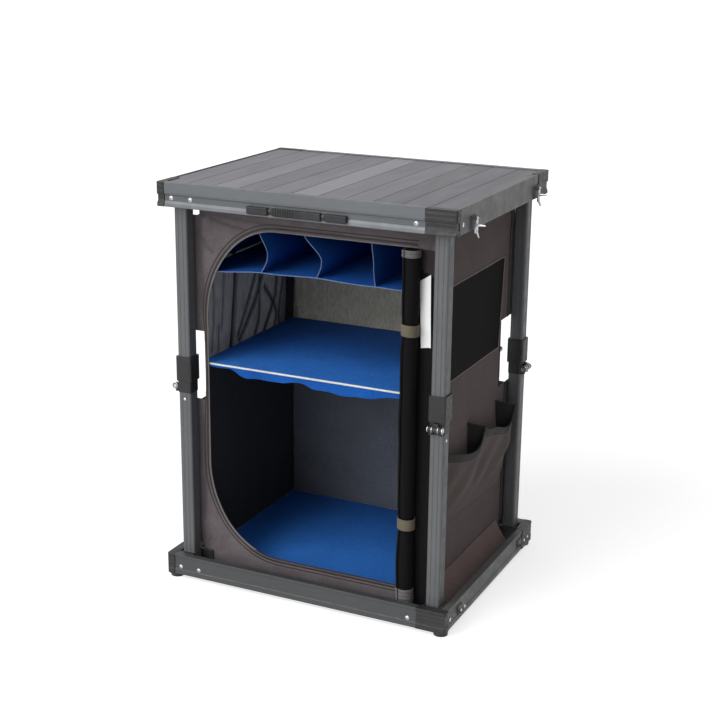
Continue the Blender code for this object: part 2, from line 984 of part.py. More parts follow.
def band_room():
    """The band's shape with a clearance round it, as deep as its slots in the caps."""
    slot = handle_cap_length - handle_cap_slot - clearance
    front = -handle_band_wall - 2 * clearance
    tall = handle_band_height + 2 * clearance
    return handle_piece((slot, handle_length - slot), front, top_recess + overrun, tall)


def rail_room():
    """The front rail's outer shape with a clearance round it."""
    face = [(d - clearance, z) for d, z in recess_outline()]
    low, high = -overrun, top_rail_height + overrun
    back = [(-clearance, high), (rail_flange, high), (rail_flange, low)]
    shape = along_x(prism([[(-clearance, low)] + face + back], handle_length + 2 * overrun))
    return shifted(shape, -handle_length / 2 - overrun, z=-handle_rise)


def rib_grooves():
    """The grooves between the ribs on the left half of the grip."""
    face = -clearance - handle_thickness
    grooves = []
    start = handle_cap_length + handle_strap_length - handle_length / 2 + handle_rib_pitch
    for i in range(handle_rib_count):
        left = start + i * handle_rib_pitch
        low = (left, face - overrun, -overrun)
        high = (left + handle_rib_groove, face + handle_rib_depth, handle_height + overrun)
        grooves.append(box(low, high))
    return together(grooves)


def make_handle(top):
    """Two end caps on the front rail, a band between them, and a grip on the band."""
    place = Matrix.Translation((-handle_shift, block_proud - depth / 2, handle_bottom))
    frame = empty("handle_place", place, top)
    rail = tool("handle_rail_room", rail_room(), frame)
    band = tool("handle_band_room", band_room(), frame)
    front, back = -clearance - handle_thickness, top_recess - clearance
    end, cap = handle_length, handle_cap_length
    for name, span in (("left", (0, cap)), ("right", (end - cap, end))):
        shape = handle_piece(span, front, back, handle_height)
        made = node("handle_cap_" + name, shape, black_plastic, frame)
        soften(made, handle_edge)
        cut(cut(made, rail), band)
    slot = cap - handle_cap_slot
    shape = handle_piece((slot, end - slot), -handle_band_wall - clearance, back, handle_band_height)
    cut(node("handle_band", shape, black_plastic, frame), rail)
    strap = cap + handle_strap_length
    shape = handle_piece((strap, end - strap), front, back, handle_height)
    grip = node("handle_grip", shape, rubber, frame)
    soften(grip, handle_edge)
    cut(grip, tool("handle_rib_grooves", rib_grooves(), frame))
    cut(cut(grip, rail), band)


# Fabric cabinet


def panel_outline(half):
    """A flat panel's edge."""
    return [(half, fabric_foot), (half, fabric_top), (-half, fabric_top), (-half, fabric_foot)]


def front_opening():
    """The D-shaped opening, round at its left corners."""
    wide, tall, steps = opening_round_width, opening_round_height, opening_round_steps
    x = wide - opening_left
    low, high = opening_bottom, opening_top
    lower = arc((x, low + tall), wide, 2, 3, steps, tall)
    upper = arc((x, high - tall), wide, 1, 2, steps, tall)
    return upper + lower + [(opening_right, low), (opening_right, high)]


def left_wall_point(u, v):
    """The left wall from the front edge to the back, with hanging folds above the middle shelf."""
    y = (2 * u - 1) * (panel_y - 2 * fabric_wall)
    z = fabric_foot + v * (fabric_top - fabric_foot)
    share = (z - fold_bottom) / (fold_top - fold_bottom)
    swell = sin(pi * share) if 0 < share < 1 else 0
    fold = fold_depth * swell * sin(pi * fold_count * u) ** 2
    return (-panel_x + fold, y, z)


def notch_room(side, along_front, along_side):
    """The notch beside a leg hinge at the front left corner (-1) or the rear right corner (1)."""
    x, y = side * (panel_x + overrun), side * (panel_y + overrun)
    inner = (side * (panel_x - along_front), side * (panel_y - along_side))
    low = (min(x, inner[0]), min(y, inner[1]), notch_bottom)
    return box(low, (max(x, inner[0]), max(y, inner[1]), notch_top))


def make_cabinet():
    """The four fabric walls, which stand on the base inside the legs."""
    shape = along_y(prism([panel_outline(panel_x), front_opening()], fabric_wall))
    front = node("cabinet_front_panel", shifted(shape, y=fabric_wall - panel_y), taupe_fabric)
    low = (-panel_x - overrun, -panel_y - overrun, corner_cut_height)
    high = (corner_cut - panel_x, overrun - panel_y, fabric_top + overrun)
    cut(front, tool("front_corner_cut", box(low, high)))
    shape = along_y(prism([panel_outline(panel_x)], fabric_wall))
    back = node("cabinet_back_panel", shifted(shape, y=panel_y), grey_mesh)
    shape = along_x(prism([panel_outline(panel_y - fabric_wall - clearance)], fabric_wall))
    right = node("cabinet_right_panel", shifted(shape, x=panel_x - fabric_wall), taupe_fabric)
    shape = sheet(fold_columns * fold_count, fold_rows, left_wall_point)
    left = thicken(node("cabinet_left_panel", shape, grey_mesh), fabric_wall, 1)
    notch = tool("front_left_notch", notch_room(-1, notch_front_depth, notch_side_depth))
    cut(front, notch)
    cut(left, notch)
    notch = tool("rear_right_notch", notch_room(1, notch_back_depth, notch_side_depth))
    cut(back, notch)
    cut(right, notch)


def pocket_point(u, v):
    """The pocket strip from front to rear: two pockets that stand out from the wall at their mouths."""
    column = u * (2 * pocket_columns + 1)
    is_second = column > pocket_columns + u / 2
    across = (column - (pocket_columns + 1) * is_second) / pocket_columns
    start = pocket_shift - pocket_gap / 2 - pocket_width
    y = start + (pocket_width + pocket_gap) * is_second + across * pocket_width
    curve = max(sin(pi * across), 0)
    z = pocket_bottom + v * (pocket_height - pocket_sag * curve)
    out = pocket_bulge * v * curve**0.5
    return (panel_x + clearance + out, y, z)


def make_pockets():
    """Two open pockets on the right wall, sewn from one strip."""
    strip = sheet(2 * pocket_columns + 1, pocket_rows, pocket_point)
    thicken(node("side_pockets", strip, taupe_fabric), fabric_wall, 1)


def make_door():
    """The mesh door, rolled up beside the opening."""
    y = -panel_y - clearance - roll_radius
    low, high = (roll_shift, y, roll_bottom), (roll_shift, y, roll_top)
    smooth(node("rolled_door", rod(low, high, roll_radius, sides=roll_sides), black_mesh))


# Middle shelf and organiser


def valance_point(u, v):
    """The valance from left to right and from its seam down."""
    x = (2 * u - 1) * (inner_x - clearance)
    wave = valance_wave * (1 + sin(2 * pi * valance_wave_count * u)) * v
    return (x, 2 * clearance - inner_y + wave, -board_thickness - clearance - v * valance_drop)


def make_shelf():
    """The middle shelf: a board and the fabric valance under its front edge."""
    shelf = empty("shelf_lift", Matrix.Translation((0, 0, shelf_height)))
    board = box((-inner_x, -inner_y, -board_thickness), (inner_x, inner_y, 0))
    soften(node("middle_shelf_board", board, blue, shelf), board_edge)
    hem = sheet(valance_columns * valance_wave_count, valance_rows, valance_point)
    thicken(node("shelf_valance", hem, blue_fabric, shelf), fabric_wall / 2, 1)


def divider_points(x):
    """A divider sheet that bulges to the right between its top and bottom edges."""
    front, back = -inner_y + clearance, inner_y - fabric_wall / 2
    low = organiser_bottom + fabric_wall / 2

    def point(u, v):
        y = front + u * (back - front)
        z = low + v * (organiser_top - low)
        return (x + divider_bulge * (1 - u) * sin(pi * v), y, z)

    return point


def make_organiser(top):
    """The hanging organiser: a floor, end walls, a back and three curved dividers."""
    x, y, wall = inner_x, inner_y, fabric_wall
    low, high = organiser_bottom, organiser_top
    seat = low + wall / 2
    made = node("organiser", box((-x, -y, low), (x, y, low + wall)), blue_fabric, top)
    fuse(made, tool("organiser_back", box((-x, y - wall, seat), (x, y, high)), top))
    for name, start in (("left", -x), ("right", x - wall)):
        end = box((start, -y, seat), (start + wall, y - wall / 2, high))
        fuse(made, tool("organiser_end_" + name, end, top))
    for i in range(divider_count):
        at = divider_shift + (i - (divider_count - 1) / 2) * divider_pitch
        curved = sheet(divider_columns, divider_rows, divider_points(at))
        divider = tool(f"organiser_divider_{i + 1}", curved, top)
        thicken(divider, wall, 0)
        fuse(made, divider)


clear_scene()
parts = new_collection(part_name)
cutters = new_collection("cutters")

rail_grey = material("rail_grey", (0.115, 0.118, 0.125), 0.5, 0.6)
tube_grey = material("tube_grey", (0.10, 0.10, 0.105), 0.5, 0.6)
slat_grey = material("slat_grey", (0.19, 0.185, 0.20), 0.55, 0.4)
black_plastic = material("black_plastic", (0.02, 0.02, 0.021), 0.5, 0)
rubber = material("rubber", (0.015, 0.015, 0.015), 0.7, 0)
steel = material("steel", (0.7, 0.7, 0.7), 0.3, 1)
chrome = material("chrome", (0.8, 0.8, 0.8), 0.15, 1)
blue = material("blue", (0.02, 0.09, 0.34), 0.7, 0)
blue_fabric = material("blue_fabric", (0.015, 0.07, 0.3), 0.8, 0)
taupe_fabric = material("taupe_fabric", (0.09, 0.075, 0.075), 0.85, 0)
grey_mesh = material("grey_mesh", (0.07, 0.07, 0.07), 0.85, 0)
black_mesh = material("black_mesh", (0.012, 0.012, 0.012), 0.85, 0)

base_corners = [empty("base_at_" + corner_names[k], corner(k)) for k in range(4)]
make_base_frame(base_corners)
make_base_inside()
upper_halves = [make_leg(k) for k in range(4)]
top_pivot = empty("top_pivot", Matrix.Translation((0, 0, half_leg)), upper_halves[0])
top_frame = empty("top_frame", top_pivot.matrix_world.inverted(), top_pivot)
top_corners = [empty("top_at_" + corner_names[k], corner(k), top_frame) for k in range(4)]
make_top_frame(top_corners)
make_slats(top_frame)
make_latches(top_corners)
make_handle(top_frame)
make_cabinet()
make_pockets()
make_door()
make_shelf()
make_organiser(top_frame)
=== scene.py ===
"""The looks of the folding camp kitchen table: finishes, fabric, trims, floor, light and camera.

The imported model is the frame, in metres: X to the right along the front, Y to the back, Z up. Fabric is made
of sheets, trims and fasteners of small meshes, and every finish is made of nodes in object coordinates.
"""

from math import cos, hypot, pi, radians, sin

import bmesh
import bpy
from mathutils import Matrix, Vector, noise


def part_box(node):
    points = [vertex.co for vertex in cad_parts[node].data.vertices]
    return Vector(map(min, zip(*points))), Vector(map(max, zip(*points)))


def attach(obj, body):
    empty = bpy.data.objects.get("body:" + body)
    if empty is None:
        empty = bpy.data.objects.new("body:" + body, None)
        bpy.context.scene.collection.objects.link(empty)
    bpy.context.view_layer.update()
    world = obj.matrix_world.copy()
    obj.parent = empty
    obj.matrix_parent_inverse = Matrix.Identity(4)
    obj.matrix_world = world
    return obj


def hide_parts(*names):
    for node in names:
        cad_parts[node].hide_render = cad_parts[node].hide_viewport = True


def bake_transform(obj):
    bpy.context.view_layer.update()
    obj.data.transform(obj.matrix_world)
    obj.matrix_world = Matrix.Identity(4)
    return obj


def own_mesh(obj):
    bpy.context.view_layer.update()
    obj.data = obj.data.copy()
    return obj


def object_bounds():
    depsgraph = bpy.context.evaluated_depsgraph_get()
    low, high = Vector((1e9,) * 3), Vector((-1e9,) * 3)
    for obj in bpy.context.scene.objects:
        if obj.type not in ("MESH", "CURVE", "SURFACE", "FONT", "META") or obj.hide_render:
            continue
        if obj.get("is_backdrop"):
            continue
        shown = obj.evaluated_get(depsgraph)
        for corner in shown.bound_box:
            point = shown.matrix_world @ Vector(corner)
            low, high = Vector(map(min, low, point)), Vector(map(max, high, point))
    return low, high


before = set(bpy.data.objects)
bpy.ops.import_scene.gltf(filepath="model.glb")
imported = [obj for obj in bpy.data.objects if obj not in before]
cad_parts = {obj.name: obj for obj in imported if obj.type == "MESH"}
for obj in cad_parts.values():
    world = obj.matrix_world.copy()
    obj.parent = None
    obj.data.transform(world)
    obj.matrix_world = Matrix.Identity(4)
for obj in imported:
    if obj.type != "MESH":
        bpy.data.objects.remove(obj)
cad_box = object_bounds()

mm = 0.001

# Places read from the frame
front_low, front_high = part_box("cabinet_front_panel")
shelf_low, shelf_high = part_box("middle_shelf_board")
floor_low, floor_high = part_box("bottom_shelf_board")
slats_low, slats_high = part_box("tabletop_slats")
roll_low, roll_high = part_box("rolled_door")
organiser_low, organiser_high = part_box("organiser")
grip_low, grip_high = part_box("handle_grip")
handle_plain = grip_low.x + 0.6 * (grip_high.x - grip_low.x)
cloth_wall = 0.9 * mm
panel_x = front_high.x
panel_y = -front_low.y
cloth_low = front_low.z
cloth_high = front_high.z
front_y = -panel_y
front_left = -panel_x - 14 * mm
table_half = (310 * mm, 250 * mm)
corner_names = ("fl", "fr", "br", "bl")

# Heights on the cabinet's walls
above_base = 62 * mm
pocket_seam = 180 * mm
notch_low, notch_high = 378 * mm, 520 * mm
gather_low, gather_high = 446 * mm, 652 * mm
dark_part_top = 456 * mm
window_low, window_high = 466 * mm, 653 * mm
band_low = 660 * mm
gap_low = 753 * mm

# The D-shaped opening
opening_left = -235 * mm
opening_right = 222 * mm
opening_bottom = 60 * mm
opening_top = 737 * mm
big_corner = (155 * mm, 190 * mm)
small_corner = (9 * mm, 9 * mm)

# The camera, solved from the photograph
camera_place = (1.2043, -2.5332, 1.2953)
camera_azimuth = 25.29
camera_elevation = 16.92
camera_roll = 0.62
camera_lens = 71.65


# Finishes


def srgb(red, green, blue):
    """A colour as a screen shows it, 0 to 255, as linear light."""
    shares = [value / 255 for value in (red, green, blue)]
    return (*[s / 12.92 if s <= 0.04045 else ((s + 0.055) / 1.055) ** 2.4 for s in shares], 1)


class Finish:
    """A material and its nodes, built a step at a time."""

    def __init__(self, name, colour, roughness, metallic=0.0, specular=0.5):
        self.made = bpy.data.materials.new(name)
        self.made.use_nodes = True
        self.tree = self.made.node_tree
        self.shader = self.tree.nodes["Principled BSDF"]
        self.set("Metallic", metallic)
        self.set("Specular IOR Level", specular)
        self.set("Roughness", roughness)
        self.tone = colour
        self.bent = None
        self.place = self.node("ShaderNodeTexCoord").outputs["Object"]

    def set(self, socket, value):
        """Sets or links one of the shader's own sockets."""
        self.feed(self.shader.inputs[socket], value)

    def feed(self, socket, value):
        if isinstance(value, bpy.types.NodeSocket):
            self.tree.links.new(value, socket)
        else:
            socket.default_value = value

    def node(self, kind, inputs=(), **settings):
        made = self.tree.nodes.new(kind)
        for key, value in settings.items():
            setattr(made, key, value)
        for key, value in dict(inputs).items():
            self.feed(made.inputs[key], value)
        return made

    def math(self, operation, a, b=0.0):
        return self.node("ShaderNodeMath", {0: a, 1: b}, operation=operation).outputs[0]

    def span(self, value, low, high, start=0.0, end=1.0):
        """The value's stretch from low to high, as start to end, held past both."""
        inputs = {"Value": value, "From Min": low, "From Max": high, "To Min": start, "To Max": end}
        return self.node("ShaderNodeMapRange", inputs).outputs[0]

    def axis(self, name):
        """One object coordinate, in metres."""
        return self.node("ShaderNodeSeparateXYZ", {0: self.place}).outputs[name]

    def noise(self, size, stretch=(1, 1, 1), detail=2.0, low=0.35, high=0.65):
        """Noise from 0 to 1 with features of about that size in metres."""
        inputs = {0: self.place, 1: stretch}
        place = self.node("ShaderNodeVectorMath", inputs, operation="MULTIPLY").outputs[0]
        field = self.node("ShaderNodeTexNoise", {"Vector": place, "Scale": 1 / size, "Detail": detail})
        return self.span(field.outputs[0], low, high)

    def waves(self, axis, pitch):
        """A wave from -1 to 1 along one axis."""
        return self.math("SINE", self.math("MULTIPLY", self.axis(axis), 2 * pi / pitch))

    def weave(self, plane, pitch):
        """1 on the threads' crowns and 0 between them."""
        a, b = [self.waves(axis, pitch) for axis in plane]
        return self.span(self.math("MULTIPLY", a, b), -1, 1)

    def mix(self, share, a, b, mode="MIX"):
        made = self.node("ShaderNodeMix", data_type="RGBA", blend_type=mode)
        for index, value in ((0, share), (6, a), (7, b)):
            self.feed(made.inputs[index], value)
        return made.outputs[2]

    def vary(self, pattern, low, high):
        """Multiplies the colour by low where the pattern is 0 and by high where it is 1."""
        self.tone = self.mix(1.0, self.tone, self.span(pattern, 0, 1, low, high), "MULTIPLY")

    def tint(self, pattern, colour):
        self.tone = self.mix(pattern, self.tone, colour)

    def bump(self, pattern, depth):
        """Raises the surface by depth where the pattern is 1."""
        inputs = {"Height": pattern, "Distance": depth, "Strength": 1.0}
        if self.bent:
            inputs["Normal"] = self.bent
        self.bent = self.node("ShaderNodeBump", inputs).outputs[0]

    def folds(self, low):
        """Paints shade into the folds that are marked in the mesh."""
        self.vary(self.node("ShaderNodeAttribute", attribute_name="fold").outputs["Fac"], 1.0, low)

    def stripe(self, axis, middle, half, share):
        """Multiplies the colour by a share in a stripe on both sides of the middle plane."""
        place = self.math("ABSOLUTE", self.axis(axis))
        away = self.math("ABSOLUTE", self.math("SUBTRACT", place, middle))
        self.vary(self.span(away, half + 0.5 * mm, half), 1.0, share)

    def edges(self, radius):
        """Rounds the shading of edges; returns 1 on an edge and 0 away from it."""
        self.bent = self.node("ShaderNodeBevel", {"Radius": radius}, samples=4).outputs[0]
        flat = self.node("ShaderNodeNewGeometry").outputs["True Normal"]
        inputs = {0: self.bent, 1: flat}
        match = self.node("ShaderNodeVectorMath", inputs, operation="DOT_PRODUCT").outputs["Value"]
        return self.span(match, 0.96, 0.8)

    def done(self):
        self.set("Base Color", self.tone)
        if self.bent:
            self.set("Normal", self.bent)
        return self.made


def coated_metal(name, colour, grain, stripes=()):
    """Powder coat over aluminium: fine peel, faint drawn lines along the metal, paler worn edges."""
    made = Finish(name, colour, 0.5, 0.1, 0.4)
    edge = made.edges(0.8 * mm)
    # Stripes multiply the colour: painted shade in grooves and recesses, and a painted highlight on the top
    # rails' foot strip
    for axis, middle, half, share in stripes:
        made.stripe(axis, middle, half, share)
    made.vary(made.noise(90 * mm), 0.96, 1.04)
    made.vary(made.noise(1.2 * mm, grain), 0.95, 1.05)
    rub = made.math("MULTIPLY", edge, made.noise(14 * mm, detail=4, low=0.45, high=0.7))
    made.tint(made.math("MULTIPLY", rub, 0.45), srgb(150, 152, 156))
    made.bump(made.noise(0.9 * mm), 0.012 * mm)
    made.bump(made.noise(1.5 * mm, grain), 0.02 * mm)
    made.set("Roughness", made.span(made.noise(20 * mm), 0, 1, 0.42, 0.56))
    return made.done()


slat_tones = (1.03, 1.0, 1.14, 0.94, 1.02, 1.22, 1.0, 1.02, 0.9, 0.93, 0.89)


def slat_metal():
    """Anodised slats, each with its own tone, brushed along their length."""
    made = Finish("slat_grey", srgb(110, 109, 115), 0.5, 0.15, 0.3)
    edge = made.edges(0.5 * mm)
    count = len(slat_tones)
    share = made.span(made.axis("X"), slats_low.x, slats_high.x)
    ramp = made.node("ShaderNodeValToRGB", {"Fac": share})
    ramp.color_ramp.interpolation = "CONSTANT"
    stops = ramp.color_ramp.elements
    for i, tone in enumerate(slat_tones):
        stop = stops[0] if i == 0 else stops.new(i / count)
        level = tone ** 2.2 / 2
        stop.color = (level, level, level, 1)
    stops.remove(stops[-1])
    made.vary(ramp.outputs[0], 0.0, 2.0)
    joint = made.math("PINGPONG", made.math("MULTIPLY", share, count), 0.5)
    made.vary(made.span(joint, 0.016, 0.035), 0.36, 1.0)
    # Darker towards the back: painted shade across the top
    made.vary(made.span(made.axis("Y"), slats_low.y, slats_high.y), 1.03, 0.9)
    made.vary(made.noise(120 * mm), 0.97, 1.03)
    made.vary(made.noise(1.1 * mm, (1, 0.03, 1)), 0.98, 1.02)
    # Paler along every edge: a painted highlight
    made.tint(made.math("MULTIPLY", edge, 0.25), srgb(165, 165, 170))
    made.bump(made.noise(1.1 * mm, (1, 0.03, 1)), 0.008 * mm)
    made.set("Roughness", made.span(made.noise(30 * mm, (1, 0.2, 1)), 0, 1, 0.48, 0.55))
    return made.done()


def moulded(name, colour, roughness=0.5, ribs=None):
    """Moulded plastic: fine spark texture, soft edges rubbed pale.

    Ribs have an axis, a pitch, an end and a tone, by which the colour along each rib is darkened as painted
    shade.
    """
    made = Finish(name, colour, roughness, specular=0.35)
    edge = made.edges(1.0 * mm)
    made.vary(made.noise(25 * mm), 0.85, 1.15)
    rub = made.math("MULTIPLY", edge, made.noise(9 * mm, detail=4, low=0.4, high=0.7))
    made.tint(made.math("MULTIPLY", rub, 0.35), srgb(96, 97, 98))
    made.bump(made.noise(0.7 * mm, detail=1), 0.02 * mm)
    if ribs:
        axis, pitch, end, tone = ribs
        ridge = made.span(made.waves(axis, pitch), -0.6, 0.6)
        ridge = made.math("MULTIPLY", ridge, made.span(made.axis(axis), end + 1 * mm, end))
        # Painted shade: each rib darkened by its tone
        made.vary(ridge, 1.0, tone)
        made.bump(ridge, 0.3 * mm)
    made.set("Roughness", made.span(made.noise(8 * mm), 0, 1, roughness - 0.08, roughness + 0.08))
    return made.done()


def bright(name, colour, roughness):
    """Plated metal with fine scratches and smudges."""
    made = Finish(name, colour, roughness, 1.0)
    made.edges(0.4 * mm)
    made.vary(made.noise(3 * mm), 0.86, 1.06)
    made.bump(made.noise(0.4 * mm, (1, 1, 0.1)), 0.008 * mm)
    made.set("Roughness", made.span(made.noise(2 * mm), 0, 1, roughness, roughness + 0.14))
    return made.done()


def cloth(name, colour, plane, pitch=1.0 * mm, depth=0.05 * mm, sheen=0.1, roughness=0.88, other=None):
    """Woven cloth in a plane such as XZ: threads, uneven yarn, painted shade in marked folds, faint soiling
    and a soft sheen.
    """
    made = Finish(name, colour, roughness, specular=0.2)
    made.set("Sheen Weight", sheen)
    made.set("Sheen Roughness", 0.6)
    threads = made.weave(plane, pitch)
    across, up = [tuple(0.06 if axis == letter else 1 for letter in "XYZ") for axis in plane]
    made.vary(threads, 0.84, 1.1)
    made.vary(made.noise(0.9 * mm, across), 0.9, 1.1)
    made.vary(made.noise(0.9 * mm, up), 0.9, 1.1)
    made.vary(made.noise(70 * mm, detail=4), 0.93, 1.07)
    # Painted shade in the marked folds
    made.folds(0.5)
    if other:
        made.tint(made.math("MULTIPLY", made.noise(35 * mm, detail=3), 0.6), other)
    made.bump(made.noise(9 * mm, detail=3), 0.25 * mm)
    made.bump(threads, depth)
    return made.done()


def net(name, colour, plane, pitch=1.8 * mm, hole=0.5, clear=0.6, streak=(1, 1, 0.05), dark=0.12):
    """Fine net: threads round small holes that let some light through, with streaks where it is denser, and
    painted shade in its marked folds, where fewer holes let light through.
    """
    made = Finish(name, colour, 0.85, specular=0.1)
    a, b = [made.math("ABSOLUTE", made.waves(axis, 2 * pitch)) for axis in plane]
    gap = made.math("MULTIPLY", made.span(a, 1 - hole, 1.0), made.span(b, 1 - hole, 1.0))
    made.vary(made.noise(2.2 * mm, streak, detail=3), 0.8, 1.2)
    # Painted shade in the marked folds, darkened to the given share
    made.folds(dark)
    made.vary(made.noise(40 * mm), 0.92, 1.08)
    made.bump(made.math("SUBTRACT", 1.0, gap), 0.1 * mm)
    mark = made.node("ShaderNodeAttribute", attribute_name="fold").outputs["Fac"]
    through = made.math("MULTIPLY", gap, made.span(mark, 0, 0.5, clear, 0))
    made.set("Alpha", made.math("SUBTRACT", 1.0, through))
    return made.done()


def trim(name, colour, plane, pitch=0.9 * mm, roughness=0.7):
    """Woven tape or piping."""
    return cloth(name, colour, plane, pitch, 0.08 * mm, 0.05, roughness)


taupe = srgb(104, 98, 101)
dark_taupe = srgb(86, 76, 80)
# The side walls' own warmer taupe, set darker than the front's as painted shade
shaded_wall_taupe = srgb(88, 76, 75)
black_cloth = srgb(22, 22, 26)
blue = srgb(44, 108, 190)
deep_blue = srgb(22, 84, 166)
pale = srgb(222, 222, 212)
# Painted shade in the leg tubes' grooves, as axis, middle, half width and share
tube_groove_shade = [(axis, (middle + side) * mm, 0.8 * mm, 0.82) for axis, middle in (("X", 272), ("Y", 212))
                for side in (-5, 5)]
# Painted shade on the top rails' recessed band and a painted highlight on their sloped foot strip
top_rail_shade_and_highlight = [("Z", 794.6 * mm, 8 * mm, 0.82), ("Z", 783.5 * mm, 2.2 * mm, 1.45)]

rail_finish = coated_metal("rail_grey", srgb(100, 103, 107), (0.03, 1, 1), top_rail_shade_and_highlight)
side_rail_finish = coated_metal("rail_grey_side", srgb(90, 91, 90), (1, 0.03, 1))
base_rail_finish = coated_metal("base_rail_grey", srgb(68, 69, 70), (0.03, 1, 1))
base_side_finish = coated_metal("base_rail_grey_side", srgb(84, 85, 84), (1, 0.03, 1))
tube_finish = coated_metal("tube_grey", srgb(92, 94, 96), (1, 1, 0.03), tube_groove_shade)
slat_finish = slat_metal()
plastic = moulded("black_plastic", srgb(36, 36, 38))
cap_plastic = moulded("black_plastic_ribbed", srgb(42, 42, 44), 0.5, ("Z", 9 * mm, 2.0, 0.8))
rubber = moulded("black_rubber", srgb(38, 40, 40), 0.5, ("X", 3.4 * mm, handle_plain, 0.6))
smooth_plastic = moulded("black_plastic_smooth", srgb(36, 38, 39), 0.32)
steel = bright("steel", srgb(200, 200, 202), 0.24)
chrome = bright("latch_steel", srgb(180, 181, 184), 0.2)
front_cloth = cloth("taupe_fabric_front", taupe, "XZ", other=dark_taupe)
side_cloth = cloth("taupe_fabric_side_shaded", shaded_wall_taupe, "YZ")
skirt_cloth = cloth("taupe_fabric_skirt", srgb(116, 98, 96), "YZ")
black_side = cloth("black_cloth_side", black_cloth, "YZ", 1.2 * mm)
black_front = cloth("black_lining_front", srgb(13, 13, 14), "XZ", 1.2 * mm, sheen=0.0)
lower_back = cloth("dark_cloth_back", srgb(80, 84, 92), "XZ", 1.2 * mm)
back_net = net("grey_mesh_back", srgb(132, 130, 118), "XZ", streak=(1, 1, 0.2))
left_net = net("grey_mesh_side", srgb(162, 158, 148), "YZ")
window_net = net("black_mesh_window", srgb(11, 11, 12), "YZ", clear=0.06)
roll_net = net("black_mesh_roll", srgb(14, 14, 15), "XZ", clear=0.0, streak=(1, 1, 0.02))
blue_top = cloth("blue_board_cover", blue, "XY", 0.9 * mm, 0.03 * mm, 0.0, 0.75)
blue_side = cloth("blue_fabric_side", deep_blue, "YZ", 0.9 * mm, 0.03 * mm, 0.0)
blue_front = cloth("blue_fabric_front", deep_blue, "XZ", 0.9 * mm, 0.03 * mm, 0.0)
blue_floor = cloth("blue_fabric_floor", deep_blue, "XY", 0.9 * mm, 0.03 * mm, 0.0)
pale_edge = trim("pale_edge_strip", pale, "XZ", 0.6 * mm, 0.45)
pale_piping = trim("pale_piping", srgb(104, 122, 160), "XZ")
taupe_piping = trim("taupe_piping", srgb(122, 118, 116), "XZ")
zip_tape = trim("zip_tape", srgb(62, 55, 56), "XZ", 1.6 * mm)
grey_tape = trim("grey_tape", srgb(100, 96, 98), "XZ", 1.4 * mm)
black_tape = trim("black_tape", srgb(13, 13, 14), "YZ", 1.4 * mm)
beige_elastic = trim("beige_elastic", srgb(102, 95, 80), "XZ", 1.5 * mm)
thread = trim("thread", srgb(116, 110, 108), "XZ")
seam_piping = trim("seam_piping", srgb(136, 122, 118), "YZ")
dark_band = cloth("dark_taupe_fabric", srgb(56, 49, 51), "XZ", sheen=0.0)


def satin():
    """Plain white satin for the tag."""
    made = Finish("tag_satin", srgb(250, 250, 250), 0.5, specular=0.3)
    made.vary(made.noise(30 * mm), 0.97, 1.0)
    made.bump(made.weave("XZ", 0.7 * mm), 0.02 * mm)
    return made.done()


tag_cloth = satin()


# Shapes


def lines(stops, step):
    """Coordinates from the first stop to the last, through every stop and about a step apart."""
    found = [stops[0]]
    for a, b in zip(stops, stops[1:]):
        count = max(1, round(abs(b - a) / step))
        found += [a + (b - a) * (i + 1) / count for i in range(count)]
    return found


def weave_sheet(us, vs, place, keep=None, pick=None, shade=None):
    """An open sheet through place(u, v).

    keep leaves faces out, pick chooses a face's finish and shade marks folds for painted shade.
    """
    shape = bmesh.new()
    if shade:
        mark = shape.verts.layers.float.new("fold")
    rows = [[shape.verts.new(place(u, v)) for u in us] for v in vs]
    if shade:
        for v, row in zip(vs, rows):
            for u, vert in zip(us, row):
                vert[mark] = shade(u, v)
    for j in range(len(vs) - 1):
        for i in range(len(us) - 1):
            u, v = (us[i] + us[i + 1]) / 2, (vs[j] + vs[j + 1]) / 2
            if keep and not keep(u, v):
                continue
            corners = (rows[j][i], rows[j][i + 1], rows[j + 1][i + 1], rows[j + 1][i])
            shape.faces.new(corners).material_index = pick(u, v) if pick else 0
    loose = [vert for vert in shape.verts if not vert.link_faces]
    bmesh.ops.delete(shape, geom=loose, context="VERTS")
    return shape


def unit(count):
    return [i / count for i in range(count + 1)]


def join(shapes):
    """Several shapes as one."""
    whole = bmesh.new()
    for shape in shapes:
        mesh = bpy.data.meshes.new("piece")
        shape.to_mesh(mesh)
        whole.from_mesh(mesh)
        shape.free()
        bpy.data.meshes.remove(mesh)
    return whole


def wrap(shape, a, b):
    """Faces between two rings."""
    for i in range(len(a)):
        n = (i + 1) % len(a)
        shape.faces.new((a[i], a[n], b[n], b[i]))


def tube(points, radius, sides=8, closed=False, flat=1.0, across=(0, 1, 0)):
    """A round or flattened bar along points; flat squeezes it along the across direction."""
    shape = bmesh.new()
    rings = []
    count = len(points)
    across = Vector(across).normalized()
    for i, point in enumerate(points):
        ahead = points[(i + 1) % count] if closed or i + 1 < count else point
        behind = points[i - 1] if closed or i else point
        along = (Vector(ahead) - Vector(behind)).normalized()
        side = along.cross(across).normalized()
        out = side.cross(along).normalized()
        ring = []
        for k in range(sides):
            angle = 2 * pi * k / sides
            ring.append(shape.verts.new(
                Vector(point) + side * radius * cos(angle) + out * radius * flat * sin(angle)
            ))
        rings.append(ring)
    pairs = list(zip(rings, rings[1:])) + ([(rings[-1], rings[0])] if closed else [])
    for a, b in pairs:
        wrap(shape, a, b)
    if not closed:
        shape.faces.new(rings[0][::-1])
        shape.faces.new(rings[-1])
    bmesh.ops.recalc_face_normals(shape, faces=shape.faces)
    return shape


